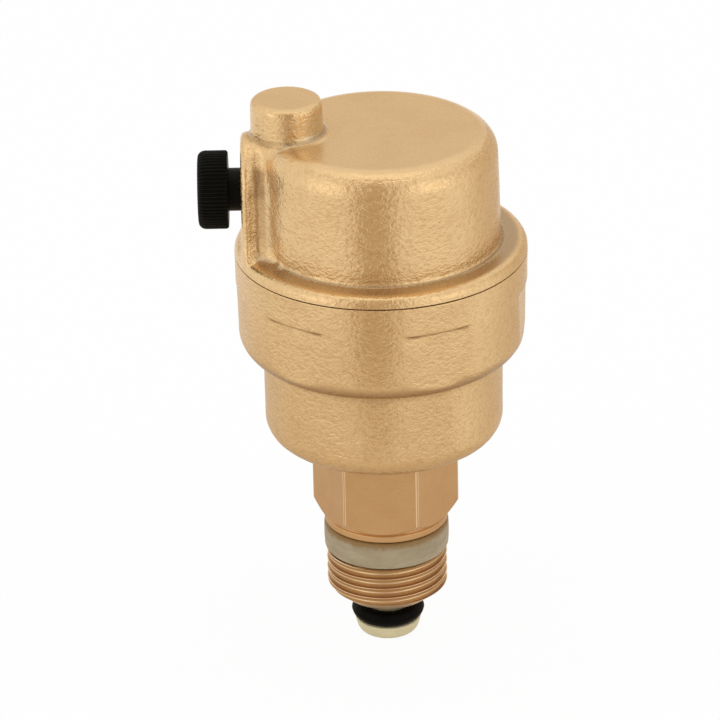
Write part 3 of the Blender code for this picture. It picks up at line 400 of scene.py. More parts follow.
def piece(name, form, material, body, slot, *nodes, marks=None, by_face=False, crease=32):
    """Finish a form as the piece that stands for CAD nodes, and let it ride on its body.

    marks holds attributes by name, each a function of a point's or face's place and normal.
    """
    bmesh.ops.scale(form, verts=form.verts, vec=(MM, MM, MM))
    bmesh.ops.triangulate(form, faces=[f for f in form.faces if len(f.verts) > 4])
    mesh = mesh_of(form, name)
    mesh.shade_smooth()
    mesh.set_sharp_from_angle(angle=math.radians(crease))
    mesh.materials.append(material)
    for mark, value in (marks or {}).items():
        store = mesh.attributes.new(mark, "FLOAT", "FACE" if by_face else "POINT")
        places = [face.center for face in mesh.polygons] if by_face \
            else [vert.co for vert in mesh.vertices]
        normals = mesh.polygon_normals if by_face else mesh.vertex_normals
        store.data.foreach_set("value", [
            value(at / MM, normal.vector) for at, normal in zip(places, normals)])
    made = bpy.data.objects.new(name, mesh)
    bpy.context.scene.collection.objects.link(made)
    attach(made, body)
    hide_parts(*nodes)
    return made


def ramp(value, low, high):
    """0 below low, 1 above high, and smooth between."""
    part = min(max((value - low) / (high - low), 0), 1)
    return part * part * (3 - 2 * part)


def weather(form, depth, share):
    """Give a forged skin its slow waves, along each point's normal.

    The shift keeps the two patterns apart, and the last term sinks the skin as a whole, so
    that little of it stands proud of the packed size.
    """
    form.normal_update()
    moves = []
    for vert in form.verts:
        amount = share(vert.co, vert.normal)
        if amount > 0:
            slow = noise.noise(vert.co / SLOW_WAVE)
            quick = noise.noise(vert.co / QUICK_WAVE + Vector((40, 0, 0)))
            moves.append((vert, vert.normal * depth * amount * (slow + 0.7 * quick - 0.8)))
    for vert, move in moves:
        vert.co += move


# Finishes
def add_node(tree, kind, settings=None, sockets=None):
    """Add a node with its own settings, and with its sockets' values or links."""
    made = tree.nodes.new(kind)
    for name, value in (settings or {}).items():
        setattr(made, name, value)
    for name, value in (sockets or {}).items():
        if isinstance(value, bpy.types.NodeSocket):
            tree.links.new(value, made.inputs[name])
        else:
            made.inputs[name].default_value = value
    return made


def blank(name):
    """The node tree of a new material, its shader and its Object coordinates."""
    material = bpy.data.materials.new(name)
    material.use_nodes = True
    tree = material.node_tree
    tree.nodes.clear()
    shader = add_node(tree, "ShaderNodeBsdfPrincipled")
    add_node(tree, "ShaderNodeOutputMaterial", sockets={"Surface": shader.outputs[0]})
    place = add_node(tree, "ShaderNodeTexCoord").outputs["Object"]
    return tree, shader, place


def per(millimetres):
    """Texture scale at which one feature is about this long."""
    return 1 / (millimetres * MM)


def shader_values(tree, shader, **values):
    """Set the shader's constants and link what is a socket."""
    names = {"base": "Base Color", "metal": "Metallic", "rough": "Roughness",
             "normal": "Normal", "gloss": "Specular IOR Level", "ior": "IOR",
             "subsurface": "Subsurface Weight", "radius": "Subsurface Radius",
             "depth": "Subsurface Scale"}
    for name, value in values.items():
        socket = shader.inputs[names[name]]
        if isinstance(value, bpy.types.NodeSocket):
            tree.links.new(value, socket)
        else:
            socket.default_value = value


def forged_brass(colours):
    """Hot-forged brass, shot-blasted: an orange-peel skin of about 0.9 mm over a satin metal.

    The eye gets a soft sheen broken into small bright flecks and darker pits, and calmer,
    smoother faces where the skin attribute is low.
    """
    tree, shader, place = blank("forged_brass_blasted")
    skin, hollow, dull = (
        add_node(tree, "ShaderNodeAttribute", {"attribute_name": mark}).outputs["Fac"]
        for mark in ("forged_skin", "forged_painted_shade", "forged_painted_reflection"))
    lying = add_node(tree, "ShaderNodeMapping", sockets={
        "Vector": place, "Scale": (1.0, 1.0, 1.5)}).outputs[0]
    # the marks of single grains are finer than this, and are drawn 0.38 mm long to show
    peel, grit, patch = (
        add_node(tree, "ShaderNodeTexNoise", sockets=pattern).outputs["Fac"] for pattern in (
            {"Vector": lying, "Scale": per(0.9), "Detail": 1.2, "Roughness": 0.5,
             "Distortion": 0.7},
            {"Vector": place, "Scale": per(0.38), "Detail": 1.0},
            {"Vector": place, "Scale": per(7), "Detail": 3.0}))
    height = add_node(tree, "ShaderNodeMath", {"operation": "MULTIPLY_ADD"}, {
        0: grit, 1: 0.22, 2: peel}).outputs[0]
    share = add_node(tree, "ShaderNodeMapRange", sockets={
        "Value": skin, "To Min": 0.10, "To Max": 1.0}).outputs[0]
    raised = add_node(tree, "ShaderNodeMath", {"operation": "MULTIPLY"}, {
        0: height, 1: share}).outputs[0]
    bump = add_node(tree, "ShaderNodeBump", sockets={
        "Strength": 1.0, "Distance": 0.125 * MM, "Height": raised}).outputs[0]
    pits = add_node(tree, "ShaderNodeMapRange", sockets={
        "Value": peel, "From Min": 0.52, "From Max": 0.30, "To Max": 0.26}).outputs[0]
    pits = add_node(tree, "ShaderNodeMath", {"operation": "MULTIPLY"}, {
        0: pits, 1: share}).outputs[0]
    toned = add_node(tree, "ShaderNodeMapRange", sockets={
        "Value": patch, "From Min": 0.40, "From Max": 0.62, "To Max": 0.10}).outputs[0]
    dark = add_node(tree, "ShaderNodeMath", {"operation": "ADD"}, {
        0: pits, 1: toned}).outputs[0]
    tint = colours.forged
    # after the random pits and patches, a painted grey reflection where faces meet, then painted
    # shade in corners, lines and on faces turned down
    for part, over in ((dark, colours.forged_dark), (dull, colours.forged_painted_reflection),
                       (hollow, colours.forged_deep)):
        tint = add_node(tree, "ShaderNodeMix", {"data_type": "RGBA"}, {
            0: part, 6: tint, 7: over}).outputs[2]
    rough = add_node(tree, "ShaderNodeMapRange", sockets={
        "Value": grit, "From Min": 0.3, "From Max": 0.7, "To Min": 0.23,
        "To Max": 0.31}).outputs[0]
    shader_values(tree, shader, base=tint, metal=0.84, rough=rough, normal=bump)


def machined_brass(colours, name="machined_brass_satin", thread_top=None, crest=None):
    """Turned and milled brass rod: fine tool marks that run round the piece.

    The eye gets a browner, calmer metal than the forgings with faint level streaks, and
    painted highlights on its corners. Below thread_top come colours painted for a cut thread's
    light and shade: pale roots, darker upper flanks and crests, and painted highlights on crest
    edges.
    """
    tree, shader, place = blank(name)
    streaks = add_node(tree, "ShaderNodeMapping", sockets={
        "Vector": place, "Scale": (0.10, 0.10, 2.2)}).outputs[0]
    # tool marks are finer than this, and are drawn about 0.36 mm apart to show
    marks, cloud, grain = (
        add_node(tree, "ShaderNodeTexNoise", sockets=pattern).outputs["Fac"] for pattern in (
            {"Vector": streaks, "Scale": per(0.8), "Detail": 3.0, "Roughness": 0.6},
            {"Vector": place, "Scale": per(4), "Detail": 2.0},
            {"Vector": place, "Scale": per(0.6), "Detail": 2.0}))
    mixed = add_node(tree, "ShaderNodeMath", {"operation": "MULTIPLY_ADD"}, {
        0: grain, 1: 0.5, 2: marks}).outputs[0]
    bump = add_node(tree, "ShaderNodeBump", sockets={
        "Strength": 1.0, "Distance": 0.06 * MM, "Height": mixed}).outputs[0]
    shade = add_node(tree, "ShaderNodeMapRange", sockets={
        "Value": cloud, "From Min": 0.35, "From Max": 0.65, "To Max": 0.25}).outputs[0]
    tint = add_node(tree, "ShaderNodeMix", {"data_type": "RGBA"}, {
        0: shade, 6: colours.machined, 7: colours.forged}).outputs[2]
    if thread_top is not None:
        worn = add_node(tree, "ShaderNodeAttribute", {
            "attribute_name": "painted_light_edge"}).outputs["Fac"]
        level = add_node(tree, "ShaderNodeSeparateXYZ", sockets={0: place}).outputs["Z"]
        below = add_node(tree, "ShaderNodeMapRange", sockets={
            "Value": level, "From Min": (thread_top + 0.1) * MM,
            "From Max": thread_top * MM}).outputs[0]
        flat = add_node(tree, "ShaderNodeVectorMath", {"operation": "MULTIPLY"}, {
            0: place, 1: (1, 1, 0)}).outputs[0]
        out = add_node(tree, "ShaderNodeVectorMath", {"operation": "LENGTH"}, {
            0: flat}).outputs["Value"]
        # painted light and shade on the thread: roots painted pale, upper flanks and crests
        # painted darker, crest edges given painted highlights
        # how far below the crest each colour starts and is full
        cut_tint = colours.thread_root
        for start, full, over in ((0.80, 0.35, colours.thread), (0.20, 0.07, colours.burnished)):
            part = add_node(tree, "ShaderNodeMapRange", sockets={
                "Value": out, "From Min": (crest - start) * MM,
                "From Max": (crest - full) * MM}).outputs[0]
            cut_tint = add_node(tree, "ShaderNodeMix", {"data_type": "RGBA"}, {
                0: part, 6: cut_tint, 7: over}).outputs[2]
        # the thread's painted tones below thread_top, then painted light from the edge mark
        for part, over in ((below, cut_tint), (worn, colours.burnished)):
            tint = add_node(tree, "ShaderNodeMix", {"data_type": "RGBA"}, {
                0: part, 6: tint, 7: over}).outputs[2]
    rough = add_node(tree, "ShaderNodeMapRange", sockets={
        "Value": marks, "From Min": 0.3, "From Max": 0.7, "To Min": 0.27,
        "To Max": 0.37}).outputs[0]
    shader_values(tree, shader, base=tint, metal=0.86, rough=rough, normal=bump)


def seal_resin(colours, low, high):
    """Turned PTFE-like ring: milky and slightly see-through.

    The eye gets a grey-beige haze with paler level clouds, and a brown tint at both edges,
    partly stain and partly painted shade where the collar and the thread meet the ring.
    """
    tree, shader, place = blank("seal_resin_milky")
    lying = add_node(tree, "ShaderNodeMapping", sockets={
        "Vector": place, "Scale": (0.6, 0.6, 1.6)}).outputs[0]
    cloud = add_node(tree, "ShaderNodeTexNoise", sockets={
        "Vector": lying, "Scale": per(2.6), "Detail": 4.0, "Roughness": 0.6}).outputs["Fac"]
    pale = add_node(tree, "ShaderNodeMapRange", sockets={
        "Value": cloud, "From Min": 0.38, "From Max": 0.66}).outputs[0]
    tint = add_node(tree, "ShaderNodeMix", {"data_type": "RGBA"}, {
        0: pale, 6: colours.seal, 7: colours.seal_pale}).outputs[2]
    level = add_node(tree, "ShaderNodeSeparateXYZ", sockets={0: place}).outputs["Z"]
    fray = add_node(tree, "ShaderNodeTexNoise", sockets={
        "Vector": place, "Scale": per(0.9), "Detail": 3.0, "Roughness": 0.65}).outputs["Fac"]
    ragged = add_node(tree, "ShaderNodeMath", {"operation": "MULTIPLY_ADD"}, {
        0: fray, 1: 1.6 * MM, 2: level}).outputs[0]
    # brown tint at the top and the foot: stain and painted shade of the gaps under the collar and
    # over the thread
    top = add_node(tree, "ShaderNodeMapRange", {"interpolation_type": "SMOOTHSTEP"}, {
        "Value": ragged, "From Min": (high - 1.0) * MM, "From Max": (high + 0.25) * MM,
        "To Max": 0.95}).outputs[0]
    foot = add_node(tree, "ShaderNodeMapRange", {"interpolation_type": "SMOOTHSTEP"}, {
        "Value": ragged, "From Min": (low + 1.5) * MM, "From Max": (low + 0.6) * MM,
        "To Max": 0.8}).outputs[0]
    edges = add_node(tree, "ShaderNodeMath", {"operation": "MAXIMUM"}, {
        0: top, 1: foot}).outputs[0]
    tint = add_node(tree, "ShaderNodeMix", {"data_type": "RGBA"}, {
        0: edges, 6: tint, 7: colours.seal_stain}).outputs[2]
    bump = add_node(tree, "ShaderNodeBump", sockets={
        "Strength": 1.0, "Distance": 0.02 * MM, "Height": cloud}).outputs[0]
    shader_values(tree, shader, base=tint, rough=0.36, normal=bump, subsurface=0.25,
                  radius=(1.0, 0.9, 0.7), depth=0.8 * MM, ior=1.38)


def moulded(name, tint, fleck, rough, grain, relief, **more):
    """A moulded resin or rubber: an even body with a faint cloud and a fine skin grain."""
    tree, shader, place = blank(name)
    cloud = add_node(tree, "ShaderNodeTexNoise", sockets={
        "Vector": place, "Scale": per(3), "Detail": 3.0}).outputs["Fac"]
    share = add_node(tree, "ShaderNodeMapRange", sockets={
        "Value": cloud, "From Min": 0.35, "From Max": 0.7}).outputs[0]
    body = add_node(tree, "ShaderNodeMix", {"data_type": "RGBA"}, {
        0: share, 6: tint, 7: fleck}).outputs[2]
    fine = add_node(tree, "ShaderNodeTexNoise", sockets={
        "Vector": place, "Scale": per(grain), "Detail": 2.0}).outputs["Fac"]
    bump = add_node(tree, "ShaderNodeBump", sockets={
        "Strength": 1.0, "Distance": relief * MM, "Height": fine}).outputs[0]
    spread = add_node(tree, "ShaderNodeMapRange", sockets={
        "Value": fine, "From Min": 0.3, "From Max": 0.7, "To Min": rough - 0.05,
        "To Max": rough + 0.05}).outputs[0]
    shader_values(tree, shader, base=body, rough=spread, normal=bump, **more)


def scaled(tint, share):
    """A colour made lighter or darker by a share of its linear value."""
    return (*[min(c * share, 1.0) for c in tint[:3]], 1.0)


def drawn_steel(colours):
    """Stainless wire and sheet, drawn and tumbled: level fine lines and a satin sheen.

    The lines are finer than a tenth of a millimetre, and are drawn 0.25 mm apart to show.
    """
    tree, shader, place = blank("stainless_drawn")
    lines = add_node(tree, "ShaderNodeMapping", sockets={
        "Vector": place, "Scale": (0.3, 2.0, 2.0)}).outputs[0]
    drawn = add_node(tree, "ShaderNodeTexNoise", sockets={
        "Vector": lines, "Scale": per(0.5), "Detail": 3.0}).outputs["Fac"]
    bump = add_node(tree, "ShaderNodeBump", sockets={
        "Strength": 1.0, "Distance": 0.004 * MM, "Height": drawn}).outputs[0]
    tint = add_node(tree, "ShaderNodeMix", {"data_type": "RGBA"}, {
        0: drawn, 6: colours.steel, 7: scaled(colours.steel, 0.82)}).outputs[2]
    rough = add_node(tree, "ShaderNodeMapRange", sockets={
        "Value": drawn, "From Min": 0.3, "From Max": 0.7, "To Min": 0.22,
        "To Max": 0.34}).outputs[0]
    shader_values(tree, shader, base=tint, metal=1.0, rough=rough, normal=bump)


FINISHES = {
    "forged_brass": "forged_brass_blasted", "machined_brass": "machined_brass_satin",
    "thread": "machined_brass_threaded", "seal_white": "seal_resin_milky",
    "cream_resin": "acetal_cream", "float_resin": "polypropylene_white",
    "black_rubber": "nitrile_black", "black_plastic": "nylon_black",
    "fibre": "fibre_pressed", "stainless": "stainless_drawn"}


def finishes():
    """Every finish, by the record's slot, made once."""
    if FINISHES["forged_brass"] not in bpy.data.materials:
        c = bpy.context.scene.air_valve_colours
        forged_brass(c)
        machined_brass(c)
        stub = in_mm(bpy.context.scene.air_valve_stub)
        machined_brass(c, "machined_brass_threaded", stub.thread_top, stub.crest_radius)
        seal_resin(c, stub.thread_top, stub.collar_low)
        # acetal: dense, waxy and a little glossy
        moulded("acetal_cream", c.cream, scaled(c.cream, 0.92), 0.30, 0.4, 0.003,
                subsurface=0.25, radius=(1.0, 0.8, 0.5), depth=0.8 * MM, ior=1.48)
        # polypropylene: soft white with a faint mould grain
        moulded("polypropylene_white", c.float_resin, scaled(c.float_resin, 0.93), 0.38,
                0.4, 0.004, subsurface=0.2, radius=(1.0, 1.0, 0.9), depth=1.0 * MM, ior=1.49)
        # nitrile rubber: matt black with a dusty bloom
        moulded("nitrile_black", c.rubber, scaled(c.rubber, 2.5), 0.45, 0.5, 0.02, ior=1.52,
                gloss=0.05)
        # glass-filled nylon: near black, dull sheen
        moulded("nylon_black", c.plastic, scaled(c.plastic, 1.6), 0.40, 0.35, 0.008,
                ior=1.53, gloss=0.08)
        # pressed fibre: red-brown, flecked and dull
        moulded("fibre_pressed", c.fibre, scaled(c.fibre, 0.6), 0.80, 0.3, 0.02, ior=1.5)
        drawn_steel(c)
    return {slot: bpy.data.materials[name] for slot, name in FINISHES.items()}


# Pieces
class AIRVALVE_OT_cover(bpy.types.Operator):
    """Forge the cover: flange, dome, boss and outlet pad in one skin, then machine it"""
    bl_idname = "airvalve.cover"
    bl_label = "Forged Cover"

    def execute(self, context):
        s = in_mm(context.scene.air_valve_cover)
        blank_low, voxel = 57.0, 0.34
        rough_shape = spun([
            (0, s.dome_top), (s.dome_top_radius, s.dome_top, s.dome_edge),
            (s.dome_radius, s.flange_top, s.dome_foot),
            (s.flange_radius, s.flange_top, s.flange_edge),
            (s.flange_radius, blank_low), (0, blank_low)], 180, closed=False)
        boss = spun([
            (0, s.boss_top), (s.boss_radius - 0.2, s.boss_top, 1.0),
            (s.boss_radius, s.dome_top - 8), (0, s.dome_top - 8)], 90, closed=False,
            at=(-s.boss_offset, 0))
        for part in (boss, self.pad(s)):
            add_form(rough_shape, part)
        form = shaped_by(rough_shape, [("REMESH", {
            "mode": "VOXEL", "voxel_size": voxel, "adaptivity": 0.0})])
        self.blend(form, s)
        weather(form, s.grain, lambda at, normal: self.skin(s, at, normal))
        form = cut(form, *self.tools(s))
        bmesh.ops.remove_doubles(form, verts=form.verts, dist=SLIVER)
        piece("cover_forging", form, finishes()["forged_brass"], "vent", "forged_brass",
              "cover", crease=42, marks={
                  "forged_skin": lambda at, normal: self.skin(s, at, normal),
                  "forged_painted_reflection": lambda at, normal: self.dull(s, at, normal),
                  "forged_painted_shade": lambda at, normal: self.hollow(s, at, normal)})
        return {"FINISHED"}

    @staticmethod
    def pad(s):
        """Upright outlet pad: an arched face with a scalloped waist behind it."""
        form = bmesh.new()
        half = s.pad_half_width
        arch_centre = s.pad_top - half
        arch = [(half * math.cos(angle), arch_centre + half * math.sin(angle))
                for angle in (math.pi * step / 32 for step in range(33))]
        foot = s.flange_top
        flare = [(half + 2.1, foot - 1.2), (half + 2.05, foot + 0.3), (half + 1.3, foot + 1.0),
                 (half + 0.75, foot + 2.0), (half + 0.45, foot + 3.6), (half + 0.15, foot + 7)]
        outline = flare + arch + [(-y, z) for y, z in reversed(flare)]
        face = form.faces.new([form.verts.new((-s.pad_reach, y, z)) for y, z in outline])
        # distance behind the face, and the sides' width there
        stations = [(0.0, 1.0), (1.0, 1.0), (1.5, 0.96), (2.1, 0.925), (2.9, 0.91),
                    (3.6, 0.92), (4.1, 0.96), (4.45, 1.0), (4.9, 1.02), (7.0, 1.0)]
        draw_out(form, face, stations, (1, 0, 0), (0, 1, 0))
        rim = [edge for edge in form.edges
               if all(abs(vert.co.x + s.pad_reach) < 0.001 for vert in edge.verts)]
        round_off(form, rim, 1.1)
        return within(form, bar(s.flange_radius - 0.05, s.flange_top - 3, s.pad_top + 3, 180))

    @staticmethod
    def blend(form, s):
        """Round the corners between dome, boss, pad and flange as a forging's are."""
        def near(value, centre, reach):
            return abs(value - centre) < reach

        every = form.verts[:]
        smooth(form, every, 3)
        corners = []
        for vert in every:
            x, y, z = vert.co
            spread = math.hypot(x, y)
            from_boss = math.hypot(x + s.boss_offset, y)
            at_boss = near(from_boss, s.boss_radius, 1.1) and near(z, s.dome_top, 1.1)
            at_pad = (x < -15 and near(spread, s.dome_radius, 1.3)
                      and s.flange_top + 1 < z < s.pad_top + 1 and abs(y) < 12)
            pad_foot = x < -16.5 and abs(y) < 12.5 and near(z, s.flange_top + 0.3, 0.9) \
                and spread > s.dome_radius and spread < s.flange_radius - 1.2
            if at_boss or at_pad or pad_foot:
                corners.append(vert)
        smooth(form, corners, 24)

    @staticmethod
    def skin(s, at, normal):
        """How rough the forged skin is at a point: calm on the pressed level faces."""
        if at.z < s.seam + 0.05:
            return 0.0
        spread = math.hypot(at.x, at.y)
        level = ramp(normal.z, 0.80, 0.97)
        calm = 0.0
        if at.z > s.dome_top - 0.6:
            calm = level * 0.92
        elif spread > s.dome_radius and at.z < s.flange_top + 0.6:
            calm = level * 0.6
        inner = spread < s.dome_radius - 1.8 and at.z < s.dome_top - 1
        return 0.3 if inner else 1.0 - calm

    @staticmethod
    def hollow(s, at, normal):
        """Painted shade: darker tone on the flange's valley, in the pad's waist and in the inner
        corners.
        """
        spread = math.hypot(at.x, at.y)
        from_boss = math.hypot(at.x + s.boss_offset, at.y)
        dark = 0.0
        # painted shade on the flange's valley and in the corner at the dome's foot
        if s.seam < at.z < s.flange_top + 1.0 and spread > s.dome_radius - 0.3:
            valley = ramp(normal.z, 0.6, 0.95) * (1 - ramp(spread, 22.8, 23.9))
            corner = 1 - ramp(spread - s.dome_radius, 0.15, 0.8)
            dark = max(0.5 * valley, corner * ramp(s.flange_top + 0.45 - at.z, 0, 0.35))
        # painted shade in the pad's waist, darkest in a band near its top
        if at.x < -17.4 and abs(at.y) > 5.5 and at.z > s.flange_top + 0.5:
            behind = at.x + s.pad_reach
            waist = ramp(behind, 1.2, 1.9) * (1 - ramp(behind, 3.9, 4.4))
            waist *= ramp(at.z, s.flange_top, s.flange_top + 1.5) * ramp(84.6 - at.z, 0, 1.6)
            darkest_band = ramp(at.z, 77.5, 80.0) * ramp(84.6 - at.z, 0, 1.5)
            dark = max(dark, waist * (0.05 + 0.4 * ramp(behind, 2.0, 3.0) + 0.4 * darkest_band))
        # painted shade round the boss's foot
        if s.dome_top - 0.5 < at.z < s.dome_top + 0.8:
            dark = max(dark, 0.5 * (1 - ramp(abs(from_boss - s.boss_radius), 0.2, 0.9)))
        return dark

    @staticmethod
    def dull(s, at, normal):
        """Painted reflection: where faces meet, a grey tone is painted over the orange that they
        take on in the light.
        """
        spread = math.hypot(at.x, at.y)
        from_boss = math.hypot(at.x + s.boss_offset, at.y)
        reflection_tone = 0.0
        if at.z > s.dome_top - 5:
            near_boss = (1 - ramp(from_boss - s.boss_radius, 0.5, 5.0)) * ramp(
                from_boss - s.boss_radius, -0.3, 0.1)
            # the boss's wall turned to +X gets the painted grey too
            wall = ramp(normal.x, 0.05, 0.6) * ramp(s.dome_top + 5.5 - at.z, 0, 2.0) \
                if at.z > s.dome_top + 0.1 and from_boss < s.boss_radius + 0.3 else 0.0
            reflection_tone = max(0.5 * near_boss * ramp(spread, 13.0, 17.0) * ramp(at.x, -18, -15),
                        0.55 * wall)
        if spread > s.dome_radius and at.z < s.flange_top + 1:
            reflection_tone = 0.5 * ramp(normal.z, 0.5, 0.9) * (1 - ramp(spread, 22.6, 23.6))
        if at.x < -15.5 and 7.2 < abs(at.y) < 12 and s.flange_top + 1 < at.z < s.dome_top - 2:
            behind = at.x + s.pad_reach
            side = ramp(behind, 4.1, 4.6) * (1 - ramp(behind, 5.8, 7.2))
            reflection_tone = max(reflection_tone, 0.35 * side * ramp(at.z - s.flange_top, 1, 3)
                        * ramp(s.dome_top - 2 - at.z, 0, 3))
        return reflection_tone

    @staticmethod
    def tools(s):
        """What machining takes away: outside the spigot, the cavity and the bores."""
        spigot, low = 21.7, 58.2
        groove, groove_top, groove_low = 20.0, s.seam - 0.75, s.seam - 2.575
        cavity_radius, roof = 17.6, 3
        post, post_low, post_top = 6.05, 73.0, s.dome_top + 1
        bracket_pad, bracket_end = 4.2, -2.6
        valve, screw, outlet_bore, orifice_bore = 3.1, 1.45, 3.95, 1.0
        reach, deep, chamfer = 27, 55, 0.2
        outside = spun([
            (0, deep), (reach, deep), (reach, s.seam + reach - s.flange_radius + chamfer),
            (s.flange_radius - chamfer, s.seam), (spigot, s.seam), (spigot, groove_top),
            (groove, groove_top), (groove, groove_low), (spigot, groove_low),
            (spigot, low + 0.8), (spigot - 0.8, low), (0, low)], 180, closed=False)
        cavity = spun([
            (0, s.dome_top - roof), (cavity_radius, s.dome_top - roof, 2.0),
            (cavity_radius, low - 1), (0, low - 1)], 120, closed=False)
        cavity = cut(cavity,
                     bar(post, post_low, post_top, 90, at=(-s.boss_offset, 0)),
                     block((-s.boss_offset, -bracket_pad, post_low),
                           (bracket_end, bracket_pad, post_top - 0.5)))
        valve_bore = bar(valve, post_low - 1, s.boss_top - 4.3, at=(-s.boss_offset, 0))
        screw_hole = bar(screw, post_low - 1, post_low + 6, 32, at=(-5.8, 0))
        at_face = (-s.pad_reach, 0, s.outlet)
        outlet = along_x(bar(outlet_bore, -3.4, 2, 72), at_face)
        orifice = along_x(bar(orifice_bore, s.boss_offset - s.pad_reach, 1, 32), at_face)
        return outside, cavity, valve_bore, screw_hole, outlet, orifice


class AIRVALVE_OT_vent_body(bpy.types.Operator):
    """Forge the vent body: bowl, wrench band with six flats, bores and threaded stub"""
    bl_idname = "airvalve.vent_body"
    bl_label = "Forged Body"

    # rounding of the brow over the wrench flats, and heights of its rows of points
    LEDGE_ROUND = 0.42
    LEDGE_ROWS = (0.42, 0.32, 0.22, 0.12, 0.04, 0.0, -0.04)

    def execute(self, context):
        s = in_mm(context.scene.air_valve_body)
        stub, stub_low, stub_bore, floor = 7.5, 22.5, 5.5, 34.2
        bore, upper_bore, step = 18.0, 22.0, s.shoulder + 1.25
        form = spun([
            (s.rim_radius, s.rim, 0.2),
            *((s.rim_radius - 0.06, s.ledge + up) for up in self.LEDGE_ROWS),
            (s.band_radius, s.shoulder, 4.2), (s.bowl_radius, s.shoulder),
            (s.bowl_radius, s.underside, s.bowl_edge), (stub, s.underside),
            (stub, stub_low + 0.5), (stub - 0.5, stub_low), (stub_bore, stub_low),
            (stub_bore, floor), (bore, floor, 3.0), (bore, step), (upper_bore, step + 4.6),
            (upper_bore, s.rim)], 240, longest=0.5, turn=s.flats_turn)
        self.press_flats(form, s)
        corner = [vert for vert in form.verts
                  if math.hypot(math.hypot(vert.co.x, vert.co.y) - s.bowl_radius,
                                vert.co.z - s.shoulder) < 0.9]
        smooth(form, corner, 6)
        weather(form, s.grain, lambda at, normal: self.skin(s, at, normal)
                * ramp(s.rim - at.z, 0.0, 0.5) * ramp(at.z - s.underside, 0.0, 0.8))
        form = joined(form, self.stub_thread(stub - 0.1, stub_low, s.underside))
        bmesh.ops.remove_doubles(form, verts=form.verts, dist=SLIVER)
        piece("vent_body_forging", form, finishes()["forged_brass"], "vent",
              "forged_brass", "vent_body", crease=42, marks={
                  "forged_skin": lambda at, normal: self.skin(s, at, normal),
                  "forged_painted_shade": lambda at, normal: self.hollow(s, at, normal)})
        return {"FINISHED"}

    @staticmethod
    def stub_thread(root, low, high):
        """G 3/8 thread that shows when the vent is unscrewed from its shut-off body."""
        depth, pitch = 0.8, 1.337
        tooth = [(0.00, 0.00), (0.05, 0.07), (0.16, 0.12), (0.86, 0.38), (0.97, 0.44),
                 (1.00, 0.50), (0.97, 0.56), (0.86, 0.62), (0.16, 0.88), (0.05, 0.93),
                 (0.00, 1.00)]
        bar_form = threaded_bar(tooth, root, depth, pitch, low - pitch, 8)
        inner, outer = root - 0.9, root + depth + 0.2
        sleeve = spun([
            (inner, low + 0.3), (root, low + 0.3), (outer, low + 1.2), (outer, high + 0.6),
            (inner, high + 0.6)], 120)
        return within(bar_form, sleeve)

    @classmethod
    def press_flats(cls, form, s):
        """Press six shallow wrench flats into the band, up to a ledge with a rounded brow."""
        soft, brow = 0.10, cls.LEDGE_ROUND
        for vert in form.verts:
            spread = math.hypot(vert.co.x, vert.co.y)
            above = (vert.co.z - s.ledge) / brow
            if above >= 1 or vert.co.z < s.shoulder - 3 or spread < 22.6:
                continue
            flat = s.flat_distance / math.cos(off_sixth(vert.co, s.flats_turn))
            # smooth minimum of the band's radius and the flat's
            share = max(soft - abs(spread - flat), 0) / soft
            pressed = min(spread, flat) - share * share * soft / 4
            if above > -0.05:
                drawn_in = brow * (1 - math.sqrt(1 - (1 - max(above, 0)) ** 2))
                pressed = max(pressed, spread - drawn_in)
            vert.co.x *= pressed / spread
            vert.co.y *= pressed / spread

    @staticmethod
    def skin(s, at, normal):
        """How rough the forged skin is at a point: none on what is turned."""
        spread = math.hypot(at.x, at.y)
        if at.z < s.underside + 0.3 or at.z > s.rim - 0.02:
            return 0.05
        if spread < s.bowl_radius - 4.5 or (normal.x * at.x + normal.y * at.y < 0
                                            and normal.z > -0.5):
            return 0.05
        return 0.95

    @staticmethod
    def hollow(s, at, normal):
        """Painted shade: under the flats' brow, on faces turned down and round the shoulder."""
        spread = math.hypot(at.x, at.y)
        # painted shade under the brow of the wrench flats
        pressed = ramp(s.rim_radius - 0.06 - spread, 0.10, 0.32)
        brow = ramp(at.z - s.ledge, -0.34, -0.12) * (1 - ramp(at.z - s.ledge, 0.10, 0.30))
        line = 0.95 * pressed * brow if spread > 22.5 else 0.0
        # painted shade on faces turned down, and a painted shadow on the bowl just under the
        # shoulder
        turning = ramp(-normal.z, 0.1, 0.7) if at.z > s.shoulder - 0.3 else 0.0
        below = ramp(at.z, s.shoulder - 1.8, s.shoulder) if spread < 21 and at.z < s.shoulder \
            and normal.z > -0.9 else 0.0
        bottom = 0.25 * ramp(-normal.z, 0.2, 0.8) if at.z < s.shoulder - 5 else 0.0
        return max(line, 0.75 * turning, 0.4 * below, bottom)


